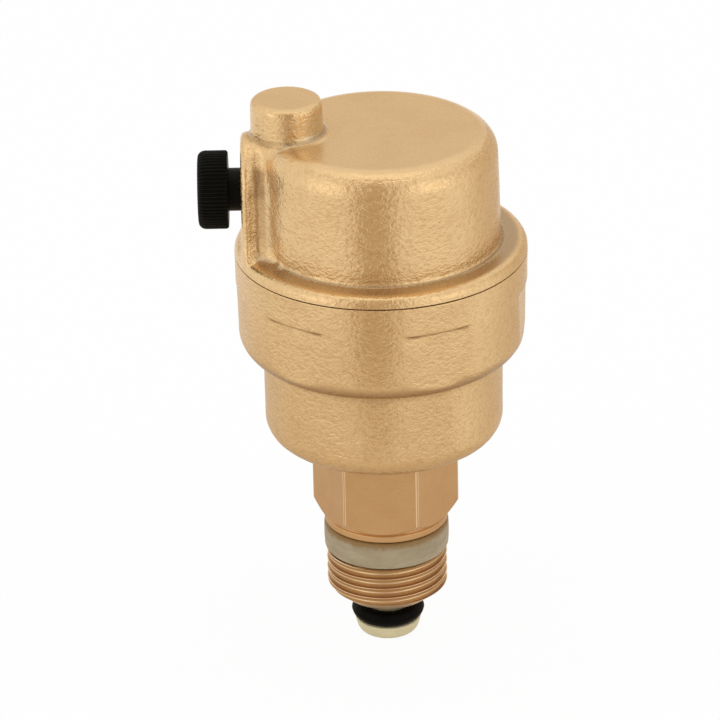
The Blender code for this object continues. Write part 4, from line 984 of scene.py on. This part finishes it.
class AIRVALVE_OT_shutoff_body(bpy.types.Operator):
    """Turn the shut-off body: milled hexagon, collar, neck and cut pipe thread"""
    bl_idname = "airvalve.shutoff_body"
    bl_label = "Shut-off Body"

    def execute(self, context):
        s = in_mm(context.scene.air_valve_stub)
        corner = s.across_flats / math.sqrt(3)
        blank_form = spun([
            (0, s.hex_top), (s.across_flats / 2 + 0.5, s.hex_top),
            (corner, s.hex_top - 0.8), (corner, s.corner_low),
            (s.collar_radius, s.collar_high + 0.25), (s.collar_radius - 0.3, s.collar_high + 0.1),
            (s.collar_radius, s.collar_high - 0.1, 0.1), (s.collar_radius, s.collar_low, 0.15),
            (s.neck_radius, s.collar_low), (s.neck_radius, s.thread_top - 0.6),
            (0, s.thread_top - 0.6)], 180, closed=False)
        form = joined(within(blank_form, self.hexagon(s, corner)), self.thread(s))
        mouth, port, bore, socket, socket_mouth = 6, 5.0, 7.3, 8.35, 8.95
        form = cut(form, spun([
            (0, -1), (mouth, -1), (mouth, 0.0), (port, 1.0), (port, 11.0), (bore, 11.0),
            (bore, 20.95), (socket, 22.0), (socket, s.hex_top - 0.6),
            (socket_mouth, s.hex_top), (socket_mouth, s.hex_top + 1), (0, s.hex_top + 1)],
            96, closed=False))
        bmesh.ops.remove_doubles(form, verts=form.verts, dist=SLIVER)
        piece("shutoff_body_turned", form, finishes()["thread"], "shutoff",
              "machined_brass", "shutoff_body", crease=24, by_face=True,
              marks={"painted_light_edge": lambda at, normal: self.worn(s, at, normal)})
        return {"FINISHED"}

    @staticmethod
    def worn(s, at, normal):
        """Painted light: 1 on the two edges of each corner of the hexagon as painted highlights,
        less on the chamfer, where it paints light over its shade, and on the lip, as a painted
        pale reflection.
        """
        spread = math.hypot(at.x, at.y)
        # painted pale reflection on the stub's lip
        if at.z < s.collar_low - 2:
            return 1 - ramp(at.z, 1.2, 1.9) if spread > 5.2 else 0.0
        off = off_sixth(at, s.hex_turn)
        # painted light over the shade of the chamfer under each corner
        if normal.z < -0.2 and s.collar_high + 0.3 < at.z < s.corner_low + 0.2:
            return 0.9 * (1 - ramp(abs(off), 0.05, 0.25))
        # painted highlights on the two edges of each corner
        if at.z > s.collar_high + 0.3 and spread > s.across_flats / 2 + 0.2:
            return float(math.radians(0.45) < abs(off) < math.radians(1.4))
        return 0.0

    @staticmethod
    def hexagon(s, corner):
        """Six-sided envelope with its corners just broken, round again below the collar."""
        form = bmesh.new()
        tall = 40
        bmesh.ops.create_cone(form, cap_ends=True, segments=6, radius1=corner,
                              radius2=corner, depth=tall)
        bmesh.ops.translate(form, verts=form.verts, vec=(0, 0, s.collar_low - 2 + tall / 2))
        # create_cone puts its first corner on +Y, which is the back
        bmesh.ops.rotate(form, verts=form.verts, matrix=Matrix.Rotation(s.hex_turn, 3, "Z"))
        upright = [edge for edge in form.edges
                   if abs(edge.verts[0].co.z - edge.verts[1].co.z) > 1]
        round_off(form, upright, 0.26)
        return joined(form, bar(12, 0, s.collar_low - 0.5, 96))

    @staticmethod
    def thread(s):
        """Cut thread of rounded roots and dished crests with a burr on both edges."""
        root = s.crest_radius - s.depth
        tooth = [(0.00, 0.00), (0.03, 0.08), (0.16, 0.14), (0.82, 0.27), (0.89, 0.285),
                 (0.91, 0.30), (0.89, 0.33), (0.84, 0.37), (0.81, 0.48), (0.84, 0.59),
                 (0.95, 0.655), (1.00, 0.69), (0.97, 0.715), (0.84, 0.735), (0.16, 0.86),
                 (0.03, 0.92), (0.00, 1.00)]
        form = threaded_bar(tooth, root, s.depth, s.pitch, -2.42 * s.pitch, 8)
        envelope = spun([
            (0, s.thread_top), (s.crest_radius - 0.35, s.thread_top),
            (s.crest_radius + 0.3, s.thread_top - 0.65), (s.crest_radius + 0.3, 2.6),
            (7.6, 0.0, 0.2), (0, 0)], 144, closed=False)
        return within(form, envelope)


class AIRVALVE_OT_seal_ring(bpy.types.Operator):
    """Turn the resin ring that seals the stub"""
    bl_idname = "airvalve.seal_ring"
    bl_label = "Seal Ring"

    def execute(self, context):
        s = in_mm(context.scene.air_valve_stub)
        low, high = s.thread_top + 0.25, s.collar_low - 0.25
        form = spun([
            (s.ring_radius - 0.05, high, 0.9), (s.ring_radius, (low + high) / 2 + 0.4),
            (s.ring_radius, (low + high) / 2 - 0.6), (s.ring_radius - 0.1, low, 0.75),
            (s.neck_radius + 0.25, low, 0.15), (s.neck_radius + 0.25, high, 0.15)], 144)
        piece("seal_ring_turned", form, finishes()["seal_white"], "shutoff", "seal_white",
              "thread_seal_ring")
        return {"FINISHED"}


class AIRVALVE_OT_plunger(bpy.types.Operator):
    """Turn the shut-off plunger and mould its O-ring"""
    bl_idname = "airvalve.plunger"
    bl_label = "Plunger and O-ring"

    def execute(self, context):
        low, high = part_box("plunger_oring")
        section = (high.z - low.z) / 2 / MM
        middle = (high.z + low.z) / 2 / MM
        radius = high.x / MM
        around = radius - section
        # a moulding flash stands proud round the ring's widest line
        flash, steps = 0.06, 32
        corners = []
        for step in range(steps):
            angle = -TAU * step / steps
            proud = 0.0 if step else flash
            corners.append((around + (section - flash + proud) * math.cos(angle),
                            middle + section * math.sin(angle)))
        form = spun(corners, 128)
        piece("plunger_oring_moulded", form, finishes()["black_rubber"], "plunger",
              "black_rubber", "plunger_oring", crease=60)
        low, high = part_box("shutoff_plunger")
        foot, top = low.z / MM, high.z / MM
        gap = 0.2
        groove_low, groove_high = middle - section - gap, middle + section + gap
        groove, head = around - section - gap, radius - 0.55
        spigot, clip_groove, stem, collar, disc_seat = 1.6, 1.25, 2.0, 4.4, 20.35
        form = spun([
            (0, top), (spigot, top, 0.3), (spigot, top - 0.8, 0.05), (clip_groove, top - 0.8),
            (clip_groove, top - 1.65), (spigot, top - 1.65), (spigot, disc_seat),
            (stem, disc_seat), (stem, groove_high + 2.5, 0.4), (collar, groove_high + 1.0, 0.15),
            (collar, groove_high, 0.1), (groove, groove_high, 0.1), (groove, groove_low, 0.1),
            (head, groove_low, 0.25), (head - 0.75, foot, 1.75), (2.2, foot, 0.2),
            (2.0, foot + 0.25, 0.2), (0, foot + 0.25)], 96, closed=False)
        piece("shutoff_plunger_turned", form, finishes()["cream_resin"], "plunger",
              "cream_resin", "shutoff_plunger")
        return {"FINISHED"}


class AIRVALVE_OT_vent_cap(bpy.types.Operator):
    """Mould the knurled vent cap on its neck"""
    bl_idname = "airvalve.vent_cap"
    bl_label = "Vent Cap"

    def execute(self, context):
        s = in_mm(context.scene.air_valve_cap)
        knob = self.knob(s)
        nose, pocket, seal = -1.6, -0.95, 2.15
        stem = spun([
            (0, s.standoff + 1.5), (s.neck_radius, s.standoff + 1.5),
            (s.neck_radius, nose, 0.3), (seal, nose, 0.1), (seal, pocket), (0, pocket)],
            72, closed=False)
        face = s.standoff + s.width
        dish = spun([
            (0, face + 1), (4.3, face + 1), (3.9, face - 0.25, 0.25), (3.4, face - 0.6, 0.4),
            (0, face - 0.6)], 72, closed=False)
        form = cut(joined(knob, stem), dish)
        cover = in_mm(context.scene.air_valve_cover)
        along_x(form, (-cover.pad_reach, 0, cover.outlet))
        piece("vent_cap_moulded", form, finishes()["black_plastic"], "cap",
              "black_plastic", "vent_cap", crease=30)
        return {"FINISHED"}

    @staticmethod
    def knob(s):
        """Disc with straight knurls that run out over a rounded outer edge."""
        form = bmesh.new()
        verts = bmesh.ops.create_circle(form, cap_ends=True, radius=s.radius,
                                        segments=6 * s.knurls)["verts"]
        # each knurl is a flat crest and a round groove
        wave = (0.0, 0.0, 0.35, 1.0, 1.0, 0.35)
        for index, vert in enumerate(verts):
            vert.co *= 1 - s.knurl_depth * wave[index % 6] / s.radius
        bmesh.ops.translate(form, verts=verts, vec=(0, 0, s.standoff))
        face = form.faces[:][0]
        far = s.width
        # distance along the knob, and how much the rounded edges draw it in
        insets = [(0.0, 0.32), (0.12, 0.12), (0.35, 0.0), (far - 1.25, 0.0),
                  (far - 0.85, 0.07), (far - 0.5, 0.24), (far - 0.22, 0.5),
                  (far - 0.05, 0.82), (far, 1.15)]
        bmesh.ops.scale(form, verts=verts, vec=(1 - insets[0][1] / s.radius,) * 2 + (1,))
        draw_out(form, face, [(distance, s.radius - inset) for distance, inset in insets],
                 (0, 0, 1), (1, 1, 0))
        return form


class AIRVALVE_OT_inner_pieces(bpy.types.Operator):
    """Finish the pieces inside the valve that keep their packed shape"""
    bl_idname = "airvalve.inner_pieces"
    bl_label = "Inner Pieces"

    def execute(self, context):
        known = finishes()
        slots = {part["node"]: part["material_slot"]
                 for part in frame["record"]["subparts"]}
        for name, node in frame["nodes"].items():
            if not node.hide_render:
                slot = slots.get(name)
                if slot not in known:
                    raise RuntimeError(f"no finish for node {name}, slot {slot}")
                node.data.materials.clear()
                node.data.materials.append(known[slot])
        return {"FINISHED"}


class AIRVALVE_OT_stage(bpy.types.Operator):
    """Set the floor, the soft lights, the cards and the camera"""
    bl_idname = "airvalve.stage"
    bl_label = "Studio"

    # place, width and height, grey of the middle, soft share of the sides, turn about Z
    CARDS = {
        "front_card": ((-10, -95, 195), (90, 410), 0.50, (0.7, 0.1), 0.0),
        "camera_card": ((-30, -330, 300), (420, 330), 0.50, (0.4, 0.4), 0.0),
        "back_card": ((0, 420, 245), (1100, 270), 0.78, (0.3, 0.3), 0.0),
        "side_card": ((80, 112, 40), (295, 220), 0.70, (0.45, 0.2), TAU / 4)}
    # place, width and height, brightness, and whether gloss sees it
    LAMPS = {
        "softbox_1": ((-520, -420, 260), (380, 560), 0.40, True),
        "fill_1": ((-520, -420, 260), (380, 560), 0.75, False),
        "softbox_3": ((520, -420, 260), (380, 560), 0.40, True),
        "fill_3": ((520, -420, 260), (380, 560), 0.75, False),
        "top_box": ((0, 60, 700), (500, 400), 0.35, True),
        "top_fill": ((0, 60, 700), (500, 400), 0.6, False)}
    # middle of the camera's orbit, and the point that it looks at
    ORBIT_MIDDLE = (0, 0, 46.7)
    LOOKS_AT = (-3.986, -0.789, 45.083)

    def execute(self, context):
        self.world(context)
        self.floor()
        self.ground_card()
        for name, settings in self.CARDS.items():
            self.card(name, *settings)
        for name, settings in self.LAMPS.items():
            self.lamp(name, *settings)
        self.camera(context, in_mm(context.scene.air_valve_studio))
        context.scene.view_settings.view_transform = "Standard"
        return {"FINISHED"}

    @staticmethod
    def world(context):
        """White to the camera and to gloss, and plain soft light on everything."""
        world = bpy.data.worlds.new("studio_white")
        context.scene.world = world
        world.use_nodes = True
        tree = world.node_tree
        tree.nodes.clear()
        seen = shown_white(tree)
        strength = add_node(tree, "ShaderNodeMix", {"data_type": "FLOAT"}, {
            0: seen, 2: 0.85, 3: 1.0}).outputs[0]
        back = add_node(tree, "ShaderNodeBackground", sockets={
            "Color": (1, 1, 1, 1), "Strength": strength}).outputs[0]
        add_node(tree, "ShaderNodeOutputWorld", sockets={"Surface": back})

    @staticmethod
    def staged(name, form, finish, place=Matrix()):
        """A stage object made of a form, and its material's empty node tree."""
        mesh = mesh_of(form, name)
        made = bpy.data.objects.new(name, mesh)
        made.matrix_world = place
        bpy.context.scene.collection.objects.link(made)
        material = bpy.data.materials.new(finish)
        material.use_nodes = True
        material.node_tree.nodes.clear()
        mesh.materials.append(material)
        return made, material.node_tree

    @staticmethod
    def lay_down(form, gap):
        """Put a level form this far below the valve's lowest point, in metres."""
        low = min(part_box(name)[0].z for name in frame["nodes"])
        bmesh.ops.translate(form, verts=form.verts, vec=(0, 0, low - gap))

    @classmethod
    def floor(cls):
        """Pale floor just under the plunger, which keeps a light shadow."""
        form = bmesh.new()
        bmesh.ops.create_grid(form, x_segments=1, y_segments=1, size=4.0)
        cls.lay_down(form, 0.0001)
        _, tree = cls.staged("floor", form, "floor_white")
        matt = add_node(tree, "ShaderNodeBsdfDiffuse", sockets={
            "Color": (0.95, 0.95, 0.95, 1)}).outputs[0]
        white = add_node(tree, "ShaderNodeEmission", sockets={"Strength": 1.0}).outputs[0]
        seen = shown_white(tree)
        share = add_node(tree, "ShaderNodeMath", {"operation": "MULTIPLY"}, {
            0: seen, 1: 0.94}).outputs[0]
        mixed = add_node(tree, "ShaderNodeMixShader", sockets={
            0: share, 1: matt, 2: white}).outputs[0]
        add_node(tree, "ShaderNodeOutputMaterial", sockets={"Surface": mixed})

    @classmethod
    def card(cls, name, at, size, middle, edges, turn):
        """Upright grey card with soft edges, turned about Z, which only gloss sees."""
        form = bmesh.new()
        bmesh.ops.create_grid(form, x_segments=1, y_segments=1, size=0.5)
        bmesh.ops.scale(form, verts=form.verts, vec=(size[0] * MM, size[1] * MM, 1))
        tree, place = cls.gloss_only(
            name, form, Matrix.Translation(Vector(at) * MM) @ Matrix.Rotation(turn, 4, "Z")
            @ Matrix.Rotation(TAU / 4, 4, "X"))
        spread = add_node(tree, "ShaderNodeSeparateXYZ", sockets={0: place}).outputs
        shares = []
        for axis, half, soft in (("X", size[0] / 2, edges[0]), ("Y", size[1] / 2, edges[1])):
            off = add_node(tree, "ShaderNodeMath", {"operation": "ABSOLUTE"}, {
                0: spread[axis]}).outputs[0]
            shares.append(add_node(
                tree, "ShaderNodeMapRange", {"interpolation_type": "SMOOTHSTEP"}, {
                    "Value": off, "From Min": half * MM,
                    "From Max": half * (1 - soft) * MM}).outputs[0])
        share = add_node(tree, "ShaderNodeMath", {"operation": "MULTIPLY"}, {
            0: shares[0], 1: shares[1]}).outputs[0]
        cls.emit(tree, share, middle)

    @classmethod
    def ground_card(cls):
        """Round grey sheet under the valve, palest at its rim, which only gloss sees."""
        form = bmesh.new()
        bmesh.ops.create_circle(form, cap_ends=True, radius=0.30, segments=96)
        cls.lay_down(form, 0.00005)
        tree, place = cls.gloss_only("ground_card", form)
        flat = add_node(tree, "ShaderNodeVectorMath", {"operation": "MULTIPLY"}, {
            0: place, 1: (1, 1, 0)}).outputs[0]
        out = add_node(tree, "ShaderNodeVectorMath", {"operation": "LENGTH"}, {
            0: flat}).outputs["Value"]
        # each ring's outer and inner radius in metres, and its share of the grey
        rings = [add_node(tree, "ShaderNodeMapRange", {"interpolation_type": "SMOOTHSTEP"}, {
            "Value": out, "From Min": rim, "From Max": inner, "To Max": part}).outputs[0]
            for rim, inner, part in ((0.21, 0.10, 0.82), (0.09, 0.04, 0.18))]
        share = add_node(tree, "ShaderNodeMath", {"operation": "ADD"}, {
            0: rings[0], 1: rings[1]}).outputs[0]
        cls.emit(tree, share, 0.66)

    @classmethod
    def gloss_only(cls, name, form, place=Matrix()):
        """Make a form a stage object that only gloss sees; its tree and coordinates."""
        made, tree = cls.staged(name, form, name + "_grey", place)
        for kind in ("camera", "diffuse", "transmission", "shadow", "volume_scatter"):
            setattr(made, f"visible_{kind}", False)
        return tree, add_node(tree, "ShaderNodeTexCoord").outputs["Object"]

    @staticmethod
    def emit(tree, share, level):
        """White where the share is 0, and a warm grey of this level where it is 1."""
        tone = add_node(tree, "ShaderNodeMix", {"data_type": "RGBA"}, {
            0: share, 6: (1, 1, 1, 1), 7: (level, level ** 1.4, level ** 1.9, 1)}).outputs[2]
        light = add_node(tree, "ShaderNodeEmission", sockets={"Color": tone}).outputs[0]
        add_node(tree, "ShaderNodeOutputMaterial", sockets={"Surface": light})

    @staticmethod
    def lamp(name, at, size, brightness, in_gloss):
        """Soft rectangular lamp turned to the valve, which gloss sees or doesn't see."""
        light = bpy.data.lights.new(name, "AREA")
        light.shape = "RECTANGLE"
        light.size, light.size_y = size[0] * MM, size[1] * MM
        light.energy = brightness * math.pi * light.size * light.size_y
        made = bpy.data.objects.new(name, light)
        made.location = Vector(at) * MM
        aim = Vector((0, 0, 45 * MM)) - made.location
        made.rotation_euler = aim.to_track_quat("-Z", "Y").to_euler()
        made.visible_glossy = in_gloss
        bpy.context.scene.collection.objects.link(made)

    @classmethod
    def camera(cls, context, s):
        """The photograph's view, for a square picture."""
        data = bpy.data.cameras.new("camera")
        data.sensor_width = 36
        data.lens = s.lens
        data.clip_start, data.clip_end = 0.01, 50
        made = bpy.data.objects.new("camera", data)
        context.scene.collection.objects.link(made)
        towards = Vector((0, -math.cos(s.elevation), math.sin(s.elevation)))
        made.location = (Vector(cls.ORBIT_MIDDLE) + towards * s.distance) * MM
        aim = Vector(cls.LOOKS_AT) * MM - made.location
        turned = aim.to_track_quat("-Z", "Y").to_matrix() @ Matrix.Rotation(s.roll, 3, "Z")
        made.rotation_euler = turned.to_euler()
        context.scene.camera = made


def shown_white(tree):
    """1 for rays of the camera, of gloss and through clear things, else 0."""
    rays = add_node(tree, "ShaderNodeLightPath").outputs
    some = add_node(tree, "ShaderNodeMath", {"operation": "MAXIMUM"}, {
        0: rays["Is Camera Ray"], 1: rays["Is Glossy Ray"]}).outputs[0]
    return add_node(tree, "ShaderNodeMath", {"operation": "MAXIMUM"}, {
        0: some, 1: rays["Is Transmission Ray"]}).outputs[0]


class AIRVALVE_PT_panel(bpy.types.Panel):
    """Lists the valve's pieces and their sizes"""
    bl_idname = "AIRVALVE_PT_panel"
    bl_label = "Air Release Valve"
    bl_space_type = "VIEW_3D"
    bl_region_type = "UI"
    bl_category = "Air Valve"

    def draw(self, context):
        for kind in OPERATORS:
            self.layout.operator(kind.bl_idname)
        for name, group in GROUPS.items():
            box = self.layout.box()
            box.label(text=group.__doc__)
            for setting in group.__annotations__:
                box.prop(getattr(context.scene, name), setting)


OPERATORS = (AIRVALVE_OT_cover, AIRVALVE_OT_vent_body, AIRVALVE_OT_shutoff_body,
             AIRVALVE_OT_seal_ring, AIRVALVE_OT_plunger, AIRVALVE_OT_vent_cap,
             AIRVALVE_OT_inner_pieces, AIRVALVE_OT_stage)
GROUPS = {"air_valve_cover": CoverSizes, "air_valve_body": BodySizes,
          "air_valve_stub": StubSizes, "air_valve_cap": CapSizes,
          "air_valve_colours": FinishColours, "air_valve_studio": StudioSettings}


def register():
    for group in GROUPS.values():
        bpy.utils.register_class(group)
    for name, group in GROUPS.items():
        setattr(bpy.types.Scene, name, PointerProperty(type=group))
    for kind in (*OPERATORS, AIRVALVE_PT_panel):
        bpy.utils.register_class(kind)


def unregister():
    for kind in (AIRVALVE_PT_panel, *reversed(OPERATORS)):
        bpy.utils.unregister_class(kind)
    for name in GROUPS:
        delattr(bpy.types.Scene, name)
    for group in reversed(GROUPS.values()):
        bpy.utils.unregister_class(group)


def main():
    """Build every piece and the studio."""
    register()
    bpy.ops.airvalve.cover()
    bpy.ops.airvalve.vent_body()
    bpy.ops.airvalve.shutoff_body()
    bpy.ops.airvalve.seal_ring()
    bpy.ops.airvalve.plunger()
    bpy.ops.airvalve.vent_cap()
    bpy.ops.airvalve.inner_pieces()
    bpy.ops.airvalve.stage()


if __name__ == "__main__":
    main()
